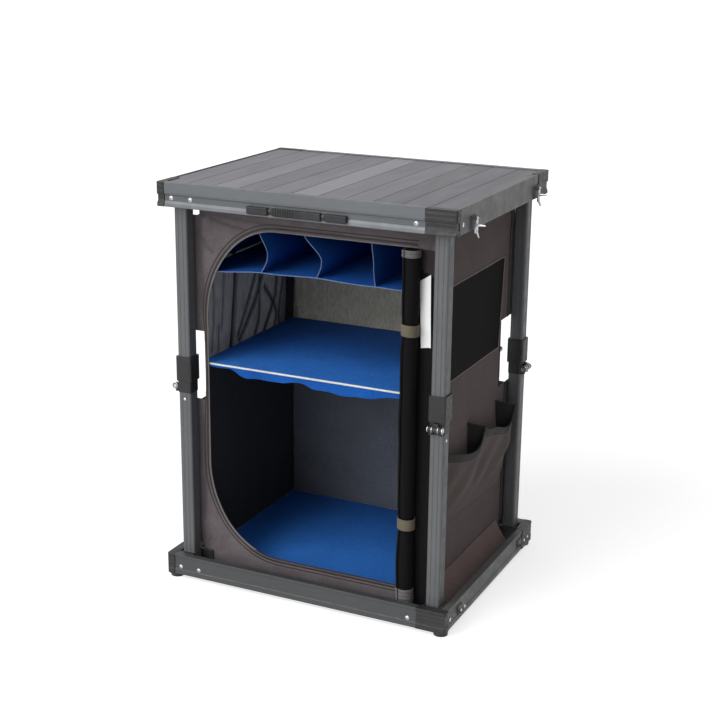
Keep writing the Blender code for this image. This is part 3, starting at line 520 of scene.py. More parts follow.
def spun(profile, sides=16):
    """A profile of (radius, z) points turned about Z."""
    shape = bmesh.new()
    rings = []
    for r, z in profile:
        if r == 0:
            rings.append([shape.verts.new((0, 0, z))])
            continue
        angles = [2 * pi * k / sides for k in range(sides)]
        rings.append([shape.verts.new((r * cos(a), r * sin(a), z)) for a in angles])
    for a, b in zip(rings, rings[1:]):
        for k in range(sides):
            n = (k + 1) % sides
            if len(a) == 1:
                shape.faces.new((a[0], b[k], b[n]))
            elif len(b) == 1:
                shape.faces.new((a[k], a[n], b[0]))
            else:
                shape.faces.new((a[k], a[n], b[n], b[k]))
    bmesh.ops.recalc_face_normals(shape, faces=shape.faces)
    return shape


def block(low, high):
    """A box between two opposite corners."""
    shape = bmesh.new()
    bmesh.ops.create_cube(shape, size=1)
    size = [b - a for a, b in zip(low, high)]
    middle = [(a + b) / 2 for a, b in zip(low, high)]
    place = Matrix.Translation(middle) @ Matrix.Diagonal((*size, 1))
    bmesh.ops.transform(shape, matrix=place, verts=shape.verts)
    return shape


def facing(place, direction):
    """Turns Z to a direction and moves to a place."""
    turn = Vector(direction).to_track_quat("Z", "Y").to_matrix().to_4x4()
    return Matrix.Translation(place) @ turn


def copies(maker, places):
    """A shape made again at each place."""
    shapes = []
    for place in places:
        shape = maker()
        bmesh.ops.transform(shape, matrix=place, verts=shape.verts)
        shapes.append(shape)
    return join(shapes)


def settle(obj):
    """Makes an object's modifiers part of its mesh."""
    graph = bpy.context.evaluated_depsgraph_get()
    mesh = bpy.data.meshes.new_from_object(obj.evaluated_get(graph))
    obj.modifiers.clear()
    obj.data = mesh
    return obj


def piece(name, shape, finishes, wall=0.0, side=0.0, sharp=40, levels=0):
    """A named piece of the scene; a wall gives an open sheet its thickness."""
    mesh = bpy.data.meshes.new(name)
    shape.to_mesh(mesh)
    shape.free()
    for finish in finishes if isinstance(finishes, (list, tuple)) else [finishes]:
        mesh.materials.append(finish)
    obj = bpy.data.objects.new(name, mesh)
    bpy.context.scene.collection.objects.link(obj)
    if levels:
        step = obj.modifiers.new("round", "SUBSURF")
        step.levels = step.render_levels = levels
    if wall:
        step = obj.modifiers.new("wall", "SOLIDIFY")
        step.thickness = wall
        step.offset = side
    settle(obj)
    obj.data.shade_smooth()
    obj.data.set_sharp_from_angle(angle=radians(sharp))
    return obj


def cut(obj, low, high):
    """Takes a box out of a piece."""
    mesh = bpy.data.meshes.new("room")
    shape = block(low, high)
    shape.to_mesh(mesh)
    shape.free()
    room = bpy.data.objects.new("room", mesh)
    bpy.context.scene.collection.objects.link(room)
    step = obj.modifiers.new("room", "BOOLEAN")
    step.object = room
    step.operation = "DIFFERENCE"
    step.solver = "EXACT"
    settle(obj)
    bpy.data.objects.remove(room, do_unlink=True)
    return obj


def wobble(x, y, z, size):
    """Smooth noise from about -1 to 1."""
    return noise.noise(Vector((x, y, z)) / size)


def bell(value):
    """1 at 0, falling smoothly to 0 at 1 on either side."""
    return (1 + cos(pi * value)) / 2 if abs(value) < 1 else 0.0


def crease(folds, a, b):
    """How deep a place lies in some folds, each a width, a depth and a path, all in millimetres."""
    a, b = a / mm, b / mm
    deepest = 0.0
    for wide, depth, path in folds:
        for (a0, b0), (a1, b1) in zip(path, path[1:]):
            da, db = a1 - a0, b1 - b0
            share = min(max(((a - a0) * da + (b - b0) * db) / (da * da + db * db), 0), 1)
            away = hypot(a - a0 - share * da, b - b0 - share * db)
            deepest = max(deepest, depth * bell(away / wide))
    return deepest


def ease(value):
    value = min(max(value, 0.0), 1.0)
    return value * value * (3 - 2 * value)


def stitch_row(points, long=2.4 * mm, gap=1.6 * mm, radius=0.35 * mm, out=(0, -1, 0)):
    """Short raised stitches along a path."""
    shapes = []
    travel, due = 0.0, 0.0
    for a, b in zip(points, points[1:]):
        a, b = Vector(a), Vector(b)
        length = (b - a).length
        while due < travel + length:
            start = a + (b - a) * ((due - travel) / length)
            end = start + (b - a).normalized() * long
            shapes.append(tube([start, (start + end) / 2 + Vector(out) * radius, end], radius, 4, across=out))
            due += long + gap
        travel += length
    return join(shapes)


# How the fabric rides with the frame


def with_cabinet(obj):
    """Rides on the base."""
    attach(obj, "base")
    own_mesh(obj)
    return obj


def with_top(obj):
    """Hangs under the top."""
    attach(obj, "top_frame")
    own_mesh(obj)
    return obj


# Frame: finishes on the model's own pieces


def paint(node, finish):
    """Puts a finish on a piece of the model."""
    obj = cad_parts[node]
    if not obj.material_slots:
        obj.data.materials.append(finish)
    for place in obj.material_slots:
        place.material = finish


def paint_frame():
    for level, long_rail, side_rail in (
        ("base", base_rail_finish, base_side_finish),
        ("top", rail_finish, side_rail_finish),
    ):
        for end in ("front", "rear"):
            paint(f"{level}_{end}_rail", long_rail)
        for side in ("left", "right"):
            paint(f"{level}_{side}_rail", side_rail)
        for corner in corner_names:
            paint(f"{level}_corner_{corner}", cap_plastic)
    paint("base_cross_frame", base_side_finish)
    paint("tabletop_slats", slat_finish)
    for corner in corner_names:
        for half in ("lower", "upper"):
            paint(f"{corner}_{half}_tube", tube_finish)
            paint(f"{corner}_{half}_fitting", plastic)
        paint(f"{corner}_hinge_pin", steel)
        paint(f"{corner}_lock_sleeve", plastic)
    for side in ("left", "right"):
        for end in ("front", "rear"):
            paint(f"latch_lever_{side}_{end}", chrome)
        paint(f"handle_cap_{side}", plastic)
    paint("handle_grip", rubber)


# Fasteners


screw_radius = 3.4 * mm
screw_rise = 1.5 * mm
base_screws, top_screws = 25 * mm, 792 * mm
own_side_screws = (31.5 * mm, 74 * mm)
long_side_screw = 80 * mm
rivet_radius = 3.0 * mm
leg_rivet = 383 * mm
leg_rivet_out = 14 * mm
keeper_rivet_height = 30 * mm
keeper_rivet_places = (-180 * mm, -161 * mm, 188 * mm, 209 * mm)
knuckle_joints = (-14.6 * mm, -6.1 * mm, 6.1 * mm, 14.6 * mm)


def screw_head():
    """A low round head on a thin washer."""
    washer = [(screw_radius * 1.25, 0), (screw_radius * 1.25, 0.4 * mm), (screw_radius, 0.45 * mm)]
    dome = [(screw_radius * cos(a), 0.5 * mm + screw_rise * sin(a)) for a in (0, 0.4, 0.8, 1.15)]
    return spun([(0, -0.5 * mm)] + washer + dome + [(0, 0.5 * mm + screw_rise)])


def cross_slot_shade():
    """A black cross on a screw's head: painted shade for its cross slot."""
    long, wide, top = 1.7 * mm, 0.35 * mm, 0.6 * mm + screw_rise
    low = top - 0.5 * mm
    return join([
        block((-long, -wide, low), (long, wide, top)),
        block((-wide, -long, low), (wide, long, top)),
    ])


def corner_frame(k):
    """A corner on the floor, turned as its hinge is."""
    x = (-1, 1, 1, -1)[k] * table_half[0]
    y = (-1, -1, 1, 1)[k] * table_half[1]
    return Matrix.Translation((x, y, 0)) @ Matrix.Rotation(k * pi / 2, 4, "Z")


def screw_places(rise, sunk_front, sunk_side):
    """Screws in the rails of one level: two on each corner's own side and one on its long side."""
    places = []
    for k in range(4):
        at = corner_frame(k)
        own = sunk_side if k % 2 else sunk_front
        other = sunk_front if k % 2 else sunk_side
        for along in own_side_screws:
            places.append(at @ facing((along, 1.5 * mm + own, rise), (0, -1, 0)))
        places.append(at @ facing((1.5 * mm + other, long_side_screw, rise), (-1, 0, 0)))
    return places


def make_fasteners():
    """Screws in the rails, rivets in the keepers and the legs, and bright spacers between hinge knuckles."""
    waist, recess = 1.5 * mm, 3 * mm
    levels = (
        ("base", "base", screw_places(base_screws, waist, waist)),
        ("top", "top_frame", screw_places(top_screws, recess, 0)),
    )
    for name, body, places in levels:
        heads = piece(name + "_screws", copies(screw_head, places), steel, sharp=50)
        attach(heads, body)
        # Black crosses on the screw heads: painted shade for their slots
        slot_shade = piece(name + "_screw_slot_shade", copies(cross_slot_shade, places), plastic)
        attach(slot_shade, body)
    places = []
    for side in (-1, 1):
        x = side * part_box("base_right_rail")[1].x
        places += [facing((x, y, keeper_rivet_height), (side, 0, 0)) for y in keeper_rivet_places]
    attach(piece("keeper_rivets", copies(rivet_head, places), steel), "base")
    for k, corner in enumerate(corner_names):
        at = corner_frame(k)
        low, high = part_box(corner + "_lower_tube")
        centre = at.inverted() @ Vector(((low.x + high.x) / 2, (low.y + high.y) / 2, leg_rivet))
        spot = at @ facing((centre.x, centre.y - leg_rivet_out, leg_rivet), (0, -1, 0))
        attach(piece(corner + "_rivet", copies(rivet_head, [spot]), steel), corner + "_lower")
        low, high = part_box(corner + "_hinge_pin")
        axis = at.inverted() @ ((low + high) / 2)
        spots = [facing((axis.x, axis.y + side, axis.z), (0, 1, 0)) for side in knuckle_joints]
        spacers = copies(spacer, [at @ spot for spot in spots])
        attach(piece(corner + "_hinge_spacers", spacers, steel), corner + "_lower")


def rivet_head():
    """A low round head."""
    dome = [(rivet_radius * cos(a), 1.2 * mm * sin(a)) for a in (0, 0.4, 0.8, 1.2)]
    return spun([(0, -0.3 * mm), (rivet_radius, -0.3 * mm)] + dome + [(0, 1.2 * mm)])


def spacer():
    """A thin washer round the hinge barrel."""
    inner, outer, half = 5.9 * mm, 6.5 * mm, 0.7 * mm
    return spun([(inner, half), (outer, half * 0.7), (outer, -half * 0.7), (inner, -half)], 20)


# The opening's outline


def opening_loop(offset=0.0, step=6 * mm):
    """Points of the opening's edge and their outward directions, moved out by an offset."""
    corners = (
        (opening_right, opening_top, 1, 1, small_corner),
        (opening_left, opening_top, -1, 1, big_corner),
        (opening_left, opening_bottom, -1, -1, big_corner),
        (opening_right, opening_bottom, 1, -1, small_corner),
    )
    found = []
    for k, (x, z, side_x, side_z, (wide, tall)) in enumerate(corners):
        count = 26 if wide > small_corner[0] else 5
        for i in range(count + 1):
            angle = pi / 2 * (k + i / count)
            out = Vector((cos(angle) / wide, 0, sin(angle) / tall)).normalized()
            centre = Vector((x - side_x * wide, 0, z - side_z * tall))
            point = centre + Vector((wide * cos(angle), 0, tall * sin(angle)))
            found.append((point + out * offset, out))
    full = []
    for (a, out), (b, next_out) in zip(found, found[1:] + found[:1]):
        count = max(1, round((b - a).length / step))
        for i in range(count):
            share = i / count
            full.append((a.lerp(b, share), out.lerp(next_out, share).normalized()))
    return full


def to_edge(point, out):
    """Where a line from a point reaches the front panel's outer edge."""
    reach = []
    if abs(out.x) > 1e-4:
        reach.append(((panel_x if out.x > 0 else front_left) - point.x) / out.x)
    if abs(out.z) > 1e-4:
        reach.append(((cloth_high if out.z > 0 else cloth_low) - point.z) / out.z)
    return point + out * min(reach)


def fan(x, z, corner, count, reach):
    """Folds that run out from a corner like a fan."""
    away = Vector((x - corner[0], 0, z - corner[1]))
    angle = away.angle(Vector((1, 0, 0)), 0.0)
    distance = away.length / reach
    return sin(count * angle + 0.7) * distance * max(0.0, 1.6 - distance) if distance < 1.6 else 0.0


# Folds of the front panel, whose creases are also painted darker as shade, as width, depth and path in x and z
front_folds = (
    (6, 1.0, ((-247, 758), (-240, 754), (-211, 745), (-181, 738), (-148, 734))),
    (7, 0.8, ((-252, 720), (-249, 715), (-238, 699), (-219, 682))),
    (8, 0.45, ((-246, 755), (-249, 692), (-244, 619), (-246, 560))),
    (7, 0.55, ((-236, 758), (-166, 752), (-72, 748), (60, 747))),
    (6, 0.5, ((-252, 72), (-222, 80), (-196, 86))),
    (7, 0.4, ((-250, 340), (-246, 250), (-250, 120))),
    (6, 0.7, ((252, 762), (238, 744), (236, 715))),
    (5, 0.6, ((246, 765), (228, 752), (205, 748))),
    (6, 0.6, ((252, 742), (246, 725), (249, 700))),
)


def front_out(x, z):
    """How far the front panel stands out from its plane."""
    top_left = 1.2 * mm * fan(x, z, (-panel_x, cloth_high), 11, 90 * mm)
    low_left = 1.0 * mm * fan(x, z, (-panel_x, cloth_low), 13, 60 * mm)
    top_right = 1.2 * mm * fan(x, z, (panel_x, cloth_high), 12, 60 * mm)
    out = top_left + low_left + top_right + 0.7 * mm * wobble(x, 0, z, 45 * mm)
    return min(out, 2.8 * mm) - 2.4 * mm * crease(front_folds, x, z)


def front_point(point, lift=0.0):
    """A point of the front panel's plane, with its folds."""
    return Vector((point.x, front_y + 0.5 * mm - lift - front_out(point.x, point.z), point.z))


def beside_opening(offset, lift):
    """A path beside the opening, open at its right and drawn in beside the leg's notch."""
    draw, reach, right_end = 0.72, 170 * mm, 214 * mm
    points = []
    middle = (notch_low + notch_high) / 2
    for point, out in opening_loop():
        near = 1 - draw * bell((point.z - middle) / reach) if point.x < 0 and offset > 0 else 1.0
        moved = point + out * offset * near
        if moved.x < right_end:
            points.append(front_point(moved, lift))
    start = max(range(len(points)), key=lambda i: (points[i] - points[i - 1]).length)
    return points[start:] + points[:start]


def make_front():
    """The front panel round its opening, with piping, zip tape and stitching."""
    loop = opening_loop()
    outer = [to_edge(point, out) for point, out in loop]
    for corner_x in (front_left, panel_x):
        for corner_z in (cloth_low, cloth_high):
            corner = Vector((corner_x, 0, corner_z))
            near = min(range(len(outer)), key=lambda i: (outer[i] - corner).length)
            outer[near] = corner
    rings = 18
    shape = bmesh.new()
    # The fold mark paints shade into the panel's creases
    mark = shape.verts.layers.float.new("fold")
    rows = []
    for k in range(rings + 1):
        share = k / rings
        rows.append([
            shape.verts.new(front_point(point.lerp(edge, share)))
            for (point, out), edge in zip(loop, outer)
        ])
        for vert in rows[-1]:
            vert[mark] = crease(front_folds, vert.co.x, vert.co.z)
    count = len(loop)
    for a, b in zip(rows, rows[1:]):
        for i in range(count):
            n = (i + 1) % count
            shape.faces.new((a[i], b[i], b[n], a[n]))
    panel = piece("front_panel", shape, front_cloth, cloth_wall)
    left_end, front_end, high_end = front_left - 9 * mm, -panel_y - 9 * mm, cloth_high + 9 * mm
    for low, high, right_end in (
        (gap_low, high_end, 7 * mm - panel_x),
        (notch_low, notch_high, 12 * mm - panel_x),
        (0, above_base, -panel_x),
    ):
        cut(panel, (left_end, front_end, low), (right_end, 0, high))
    panel.data.set_sharp_from_angle(angle=radians(40))
    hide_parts("cabinet_front_panel")

    trims = []
    for name, offset, radius, flat, finish in (
        ("opening_piping", -0.6 * mm, 1.3 * mm, 1.0, taupe_piping),
        ("zip_coil", 5 * mm, 2.0 * mm, 0.45, zip_tape),
        ("zip_tape_edge", 12 * mm, 1.1 * mm, 0.7, zip_tape),
    ):
        shape = tube(beside_opening(offset, 0.7 * mm), radius, 8, flat=flat)
        for face in shape.faces:
            face.material_index = 1 if face.calc_center_median().z < 72 * mm else 0
        trims.append(piece(name, shape, [finish, dark_band]))
    rows = [stitch_row(beside_opening(offset, 0.6 * mm)) for offset in (10 * mm, 16 * mm)]
    trims.append(piece("front_stitching", join(rows), thread))
    area = 2 * panel_x * (cloth_high - cloth_low) - opening_area()
    for made in [panel] + trims:
        with_cabinet(made)


def opening_area():
    """The opening's area, from its outline."""
    points = [point for point, out in opening_loop()]
    pairs = zip(points, points[1:] + points[:1])
    return abs(sum(a.x * b.z - b.x * a.z for a, b in pairs)) / 2


# Side and back walls


# Folds between the left wall's gathers, painted dark as shade, as width, depth and path in y and z
left_folds = (
    (13, 1.0, ((-57, 655), (-57, 611), (-69, 527), (-79, 445))),
    (6.5, 0.8, ((23, 640), (23, 591), (-8, 542), (-31, 508), (-51, 473))),
    (7, 1.0, ((57, 640), (53, 582), (23, 535), (-5, 505), (-45, 461))),
    (6, 0.9, ((42, 640), (40, 556), (37, 488), (22, 459))),
    (7, 1.0, ((118, 640), (116, 569), (108, 523), (80, 485), (58, 449))),
    (6, 0.8, ((60, 555), (99, 514), (115, 484), (104, 449))),
    (6, 0.9, ((147, 650), (146, 562), (131, 517), (124, 474), (132, 450))),
    (5, 0.6, ((-130, 514), (-129, 458))),
    (6, 0.5, ((-100, 650), (-112, 566), (-117, 508))),
    (6, 0.5, ((-150, 640), (-146, 560), (-155, 470))),
)


def gather(y, z):
    """How far the left wall's gathers stand into the cabinet."""
    if not gather_low < z < gather_high:
        return 0.0
    swell = sin(pi * (gather_high - z) / (gather_high - gather_low)) ** 0.5
    return 6.5 * mm * swell * (1 - crease(left_folds, y, z))


def left_point(y, z):
    slack = 0.5 * mm * (1 + wobble(y, 1, z, 30 * mm)) * ease((655 * mm - z) / (20 * mm))
    inward = 0.5 * mm + gather(y, z) + slack
    return (-panel_x + inward, y, z)


def make_left():
    """The left wall: net with gathers above the shelf, black cloth below it, a black strip at its rear."""
    edge = panel_y - 2.4 * mm
    notch_end, strip = 24 * mm - panel_y, 152 * mm
    ys = lines([-edge, notch_end, strip, edge], 2.4 * mm)
    zs = lines([cloth_low, notch_low, dark_part_top, notch_high, band_low, gap_low, cloth_high], 7 * mm)

    def keep(y, z):
        return not (y < notch_end and (notch_low < z < notch_high or z > gap_low))

    def pick(y, z):
        if z < dark_part_top or y > strip:
            return 1
        return 2 if z > band_low else 0

    # The fold mark paints shade into the creases between the gathers
    def shade(y, z):
        return crease(left_folds, y, z) if z > gather_low else 0.0

    shape = weave_sheet(ys, zs, left_point, keep, pick, shade)
    made = piece("left_wall", shape, [left_net, black_side, side_cloth], cloth_wall)
    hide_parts("cabinet_left_panel")
    inside = 3.6 * mm
    corner = [
        Vector((inside - panel_x + 0.8 * mm * wobble(0, 8, z, 25 * mm), panel_y - inside - 1 * mm, z))
        for z in lines([cloth_low + 34 * mm, 700 * mm], 7 * mm)
    ]
    binding = piece("left_corner_binding", tube(corner, 2.4 * mm, 8), black_tape)
    with_cabinet(binding)
    with_cabinet(made)


def back_point(x, z):
    ripple = 0.5 * mm * sin(2 * pi * x / (23 * mm) + 2 * wobble(x, 0, z, 90 * mm))
    return (x, panel_y - 1.0 * mm - ripple * bell((z - 560 * mm) / (130 * mm)), z)


def make_back():
    """The back wall: net above the shelf and darker cloth below it."""
    notch_end = panel_x - 26 * mm
    xs = lines([-panel_x, notch_end, panel_x - 3 * mm], 5.5 * mm)
    zs = lines([cloth_low, notch_low, dark_part_top, notch_high, band_low, cloth_high], 9 * mm)

    def keep(x, z):
        return not (x > notch_end and notch_low < z < notch_high)

    def pick(x, z):
        if z < dark_part_top:
            return 1
        return 2 if z > band_low else 0

    shape = weave_sheet(xs, zs, back_point, keep, pick)
    made = piece("back_wall", shape, [back_net, lower_back, front_cloth], cloth_wall)
    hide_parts("cabinet_back_panel")
    with_cabinet(made)


def right_out(y, z):
    """Soft waves of the right wall, and the pull above its seams."""
    band = 0.8 * mm * sin(2 * pi * (y + z) / (75 * mm)) * bell((z - 730 * mm) / (75 * mm))
    return band + 0.7 * mm * wobble(y, 3, z, 55 * mm)


def right_point(y, z):
    return (panel_x - 1.2 * mm + right_out(y, z), y, z)


window_rear_low = 143 * mm


def window_rear(z):
    """The rear edge of the right wall's window, which leans to the front as it goes down."""
    return window_rear_low + (z - window_low) * 0.11


def on_wall(y, z, lift=0.6 * mm):
    """A place on the right wall, lifted off it."""
    x, y, z = right_point(y, z)
    return Vector((x + lift, y, z))


def upright(y, low, high, step=9 * mm, lift=0.6 * mm):
    """A line up the right wall."""
    return [on_wall(y, z, lift) for z in lines([low, high], step)]


def wall_bars(name, paths, radius, flat, finish):
    """Flattened bars along paths on the right wall."""
    bars = [tube(points, radius, 6, flat=flat, across=(1, 0, 0)) for points in paths]
    return piece(name, join(bars), finish)


def make_right():
    """The right wall: a plain band, a net window, plain cloth below, and black bindings."""
    edge = panel_y - 1.8 * mm
    strip_end = 9 * mm - edge
    notch_front = panel_y - 42 * mm
    reach = panel_y + 22 * mm
    ys = lines([-edge, strip_end, window_rear_low, notch_front, edge, reach], 5 * mm)
    heights = [cloth_low, above_base, notch_low, window_low, notch_high, window_high, gap_low, cloth_high]

    def keep(y, z):
        if y > edge and not above_base < z < gap_low:
            return False
        return not (y > notch_front and notch_low < z < notch_high)

    def pick(y, z):
        if y < strip_end and z > window_low:
            return 2
        return 1 if window_low < z < window_high and y < window_rear(z) else 0

    shape = weave_sheet(ys, lines(heights, 6.5 * mm), right_point, keep, pick)
    made = piece("right_wall", shape, [side_cloth, window_net, black_side], cloth_wall)
    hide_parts("cabinet_right_panel")
    seams = []
    for z in (window_high, window_low):
        seams.append([on_wall(y, z) for y in lines([6 * mm - edge, window_rear(z)], 6 * mm)])
    seams.append([on_wall(window_rear(z), z) for z in lines([window_low, window_high], 6 * mm)])
    window_seams = wall_bars("window_seams", seams, 1.2 * mm, 0.6, seam_piping)
    edges = [
        upright(1 * mm - edge, cloth_low, cloth_high),
        upright(edge - 1 * mm, notch_high, cloth_high),
        upright(edge - 1 * mm, cloth_low, notch_low),
        upright(notch_front, notch_low, notch_high),
    ]
    bindings = wall_bars("right_bindings", edges, 2.2 * mm, 0.5, black_tape)
    low_line = [
        on_wall(y, pocket_seam - 17 * mm * (y + 118 * mm) / (278 * mm), 0.5 * mm)
        for y in lines([-180 * mm, 165 * mm], 8 * mm)
    ]
    rows = [upright(edge - 14 * mm, notch_high + 6 * mm, cloth_high, 8 * mm, 0.5 * mm), low_line]
    for points, shift in ((seams[0], 4 * mm), (seams[1], -4 * mm)):
        rows.append([point + Vector((0, 0, shift)) for point in points])
    stitches = [stitch_row(points, out=(1, 0, 0)) for points in rows]
    stitching = piece("right_stitching", join(stitches), thread)
    ragged = [
        on_wall((24 + 3 * wobble(0, 11, z, 9 * mm)) * mm - edge, z, 0.9 * mm)
        for z in lines([640 * mm, cloth_high - 4 * mm], 3.5 * mm)
    ]
    frill = wall_bars("right_frill", [ragged], 4.4 * mm, 0.35, black_tape)
    trims = [window_seams, bindings, stitching, frill]
    for one in [made] + trims:
        with_cabinet(one)


def skirt_point(y, v):
    """A point of the loose hem that leans out over the base from the right wall's foot."""
    wide, high, low = 29 * mm, 76 * mm, 27 * mm
    drop = (high - low) * v + 1.0 * mm * wobble(y, 12, v, 40 * mm)
    return Vector((panel_x + 0.8 * mm + wide * v ** 1.3, y, high - drop))


def make_skirt():
    skirt = weave_sheet(lines([-190 * mm, 166 * mm], 7 * mm), unit(10), skirt_point)
    skirt = piece("right_skirt", skirt, skirt_cloth, cloth_wall)
    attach(skirt, "base")
    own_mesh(skirt)


# Pockets on the right wall

# The pockets' lip, front to rear, as places: distance from the wall, y, z
lip_stops = (
    (0.6, -192, 352), (12, -160, 333), (22, -110, 317), (26, -50, 303), (27, -14, 309), (27, 8, 340),
    (27, 24, 328), (26, 80, 314), (26, 135, 297), (30, 155, 306), (34, 165, 340),
)
gusset_share = 0.5


def along_stops(stops, share):
    """A smooth path through stops at even shares."""
    last = len(stops) - 1
    i = min(int(share * last), last - 1)
    t = share * last - i
    p0, p1, p2, p3 = [Vector(stops[min(max(i + k, 0), last)]) for k in (-1, 0, 1, 2)]
    return (2 * p1 + (p2 - p0) * t + (2 * p0 - 5 * p1 + 4 * p2 - p3) * t * t
            + (3 * p1 - p0 - 3 * p2 + p3) * t ** 3) / 2


def lip_point(u):
    """The lip at a share of its length; it has a sharp corner at the gusset between the pockets."""
    half = len(lip_stops) // 2 + 1
    if u <= gusset_share:
        out, y, z = along_stops(lip_stops[:half], u / gusset_share)
    else:
        out, y, z = along_stops(lip_stops[half - 1:], (u - gusset_share) / (1 - gusset_share))
    return Vector((panel_x + out * mm, y * mm, z * mm))


def stitch_point(u):
    """The seam on the wall where the pockets end below."""
    y = -192 * mm + 352 * mm * u
    return Vector((panel_x + 0.6 * mm, y, pocket_seam - 0.06 * (y + 118 * mm)))


def pocket_point(u, v):
    """The pockets' outer face from the seam up to the lip, with slanting folds."""
    low, lip = stitch_point(u), lip_point(u)
    point = low.lerp(lip, v)
    fold = sin(2 * pi * (point.y * 0.75 - point.z) / (80 * mm) + wobble(u, 13, v, 0.5)) * sin(pi * v)
    belly = sin(pi * v) * 3 * mm * ease(v * 2)
    point.x = low.x + (lip.x - low.x) * v ** 0.85 + 2.4 * mm * fold * min(1, 3 * v) + belly
    return point


def gusset_point(u, s, t):
    """The side of a pocket, from the wall out and from its top down."""
    outer = pocket_point(u, 1 - t)
    low = stitch_point(u)
    top = Vector((panel_x + 0.6 * mm, lip_point(u).y - 28 * mm, 352 * mm))
    return top.lerp(low, t).lerp(outer, s)


def make_pockets():
    """Two open pockets sewn from one strip, with black gussets and binding."""
    binding_start = 0.93
    sides = (gusset_share, 1.0)

    def pick(u, v):
        return 1 if v > binding_start else 0

    shape = weave_sheet(unit(84), unit(22), pocket_point, None, pick)
    outer = piece("pocket_face", shape, [side_cloth, black_tape], 1.1 * mm, 1)
    sheets = [weave_sheet(unit(10), unit(16), lambda s, t, u=u: gusset_point(u, s, t)) for u in sides]
    gussets = piece("pocket_gussets", join(sheets), black_side, 0.9 * mm)
    lips = []
    for low, high in ((0, gusset_share), (gusset_share, 1)):
        points = [lip_point(u) for u in lines([low, high], 0.0125)]
        lips.append(tube(points, 2.2 * mm, 8, flat=1.3, across=(0, 0, 1)))
    for u in sides:
        lips.append(tube([gusset_point(u, s, 0) for s in unit(8)], 2.0 * mm, 8, across=(0, 0, 1)))
    binding = piece("pocket_binding", join(lips), black_tape)
    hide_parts("side_pockets")
    for made in (outer, gussets, binding):
        with_cabinet(made)


# The rolled mesh door


roll_x = (roll_low.x + roll_high.x) / 2
roll_y = (roll_low.y + roll_high.y) / 2
roll_turns = 4.6
roll_core = 6 * mm
roll_full = (roll_high.x - roll_low.x) / 2
strap_heights = (587 * mm, 205 * mm)


def roll_radius(z):
    """The roll's outer radius: drawn in by its straps."""
    pinch = sum(bell((z - at) / (55 * mm)) for at in strap_heights)
    slack = 1.1 * mm * wobble(0, 5, z, 60 * mm)
    flare = 1.4 * mm * bell((z - 110 * mm) / (70 * mm))
    return roll_full - 0.4 * mm - 2.4 * mm * pinch + slack + flare


def roll_point(u, z, extra=0.0):
    """A point of the spiral: u runs from the core to the outside."""
    angle = 2 * pi * roll_turns * u + 0.4
    full = roll_radius(z)
    radius = roll_core + (full - roll_core) * u + extra
    radius += 0.35 * mm * wobble(angle, 9, z / (30 * mm), 1.0)
    lean = 0.8 * mm * sin(pi * (z - roll_low.z) / (roll_high.z - roll_low.z))
    lean += 1.2 * mm * wobble(3, 0, z, 90 * mm)
    return Vector((roll_x + radius * cos(angle) - lean, roll_y + radius * sin(angle), z))


def make_roll():
    """The door of black net, rolled up, with grey hems and two elastic straps."""
    low, high = roll_low.z, roll_high.z
    zs = lines([low, high], 9 * mm)
    made = piece("rolled_door_net", weave_sheet(unit(150), zs, roll_point), roll_net, 0.5 * mm)
    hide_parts("rolled_door")
    hems = []
    for start, end, count in ((high - 13 * mm, high + 0.5 * mm, 2), (low - 0.5 * mm, low + 30 * mm, 4)):
        rows = lines([start, end], (end - start) / (count * 6))

        def place(u, z, start=start, end=end, count=count):
            ridge = 1.0 * mm * abs(sin(pi * count * (z - start) / (end - start))) ** 0.7
            return roll_point(0.55 + 0.45 * u, z, 0.5 * mm + ridge)

        hems.append(weave_sheet(unit(72), rows, place))
    hem = piece("roll_hems", join(hems), grey_tape, 0.4 * mm)
    straps = []
    tall = 11 * mm
    for at in strap_heights:

        def place(u, v, at=at):
            angle = 2 * pi * u
            radius = roll_radius(at) + 2.0 * mm
            tail = max(0.0, sin(angle)) ** 3 * 1.5 * mm
            z = at + (v - 0.5) * 2 * tall - 1 * mm * cos(angle)
            return Vector((roll_x + radius * cos(angle), roll_y + (radius + tail) * sin(angle), z))

        straps.append(weave_sheet(unit(40), unit(6), place))
    strap = piece("roll_straps", join(straps), beige_elastic, 0.9 * mm)
    for one in (made, hem, strap):
        with_cabinet(one)


flap_left, flap_right = 211 * mm, 251 * mm
flap_low, flap_net_top, flap_high = 30 * mm, 702 * mm, 734 * mm
tag_corners = ((225.7, 550.7), (245.5, 553.4), (241.9, 690.4), (220.6, 676.8))


def make_flap():
    """The black zip flap beside the roll, and the blank tag sewn in over it."""
    xs = lines([flap_left, flap_right], 2.5 * mm)
    zs = lines([flap_low, flap_net_top, flap_high], 5 * mm)

    def place(x, z):
        ripple = 0.9 * mm * sin(2 * pi * x / (13 * mm) + 1.5 * wobble(x, 2, z, 90 * mm))
        lift = 1.8 * mm + ripple * 0.5 + 0.6 * mm * wobble(x, 4, z, 40 * mm)
        return Vector((x, front_y - lift, z))

    def pick(x, z):
        return 1 if z > flap_net_top - (x - flap_left) * 0.5 else 0

    shape = weave_sheet(xs, zs, place, None, pick)
    flap = piece("zip_flap", shape, [black_front, dark_band], cloth_wall)
    with_cabinet(flap)
    low_left, low_right, high_right, high_left = [Vector((x * mm, 0, z * mm)) for x, z in tag_corners]

    def tag_place(u, v):
        point = low_left.lerp(low_right, u).lerp(high_left.lerp(high_right, u), v)
        curl = 2.0 * mm * (u - 0.5) ** 2 * 4 * (0.4 + 0.6 * (1 - v))
        return Vector((point.x, front_y - 4.6 * mm - curl - 0.8 * mm * sin(pi * v), point.z))

    tag = piece("blank_tag", weave_sheet(unit(10), unit(36), tag_place), tag_cloth, 0.4 * mm)
    with_cabinet(tag)


# Boards, valance and organiser


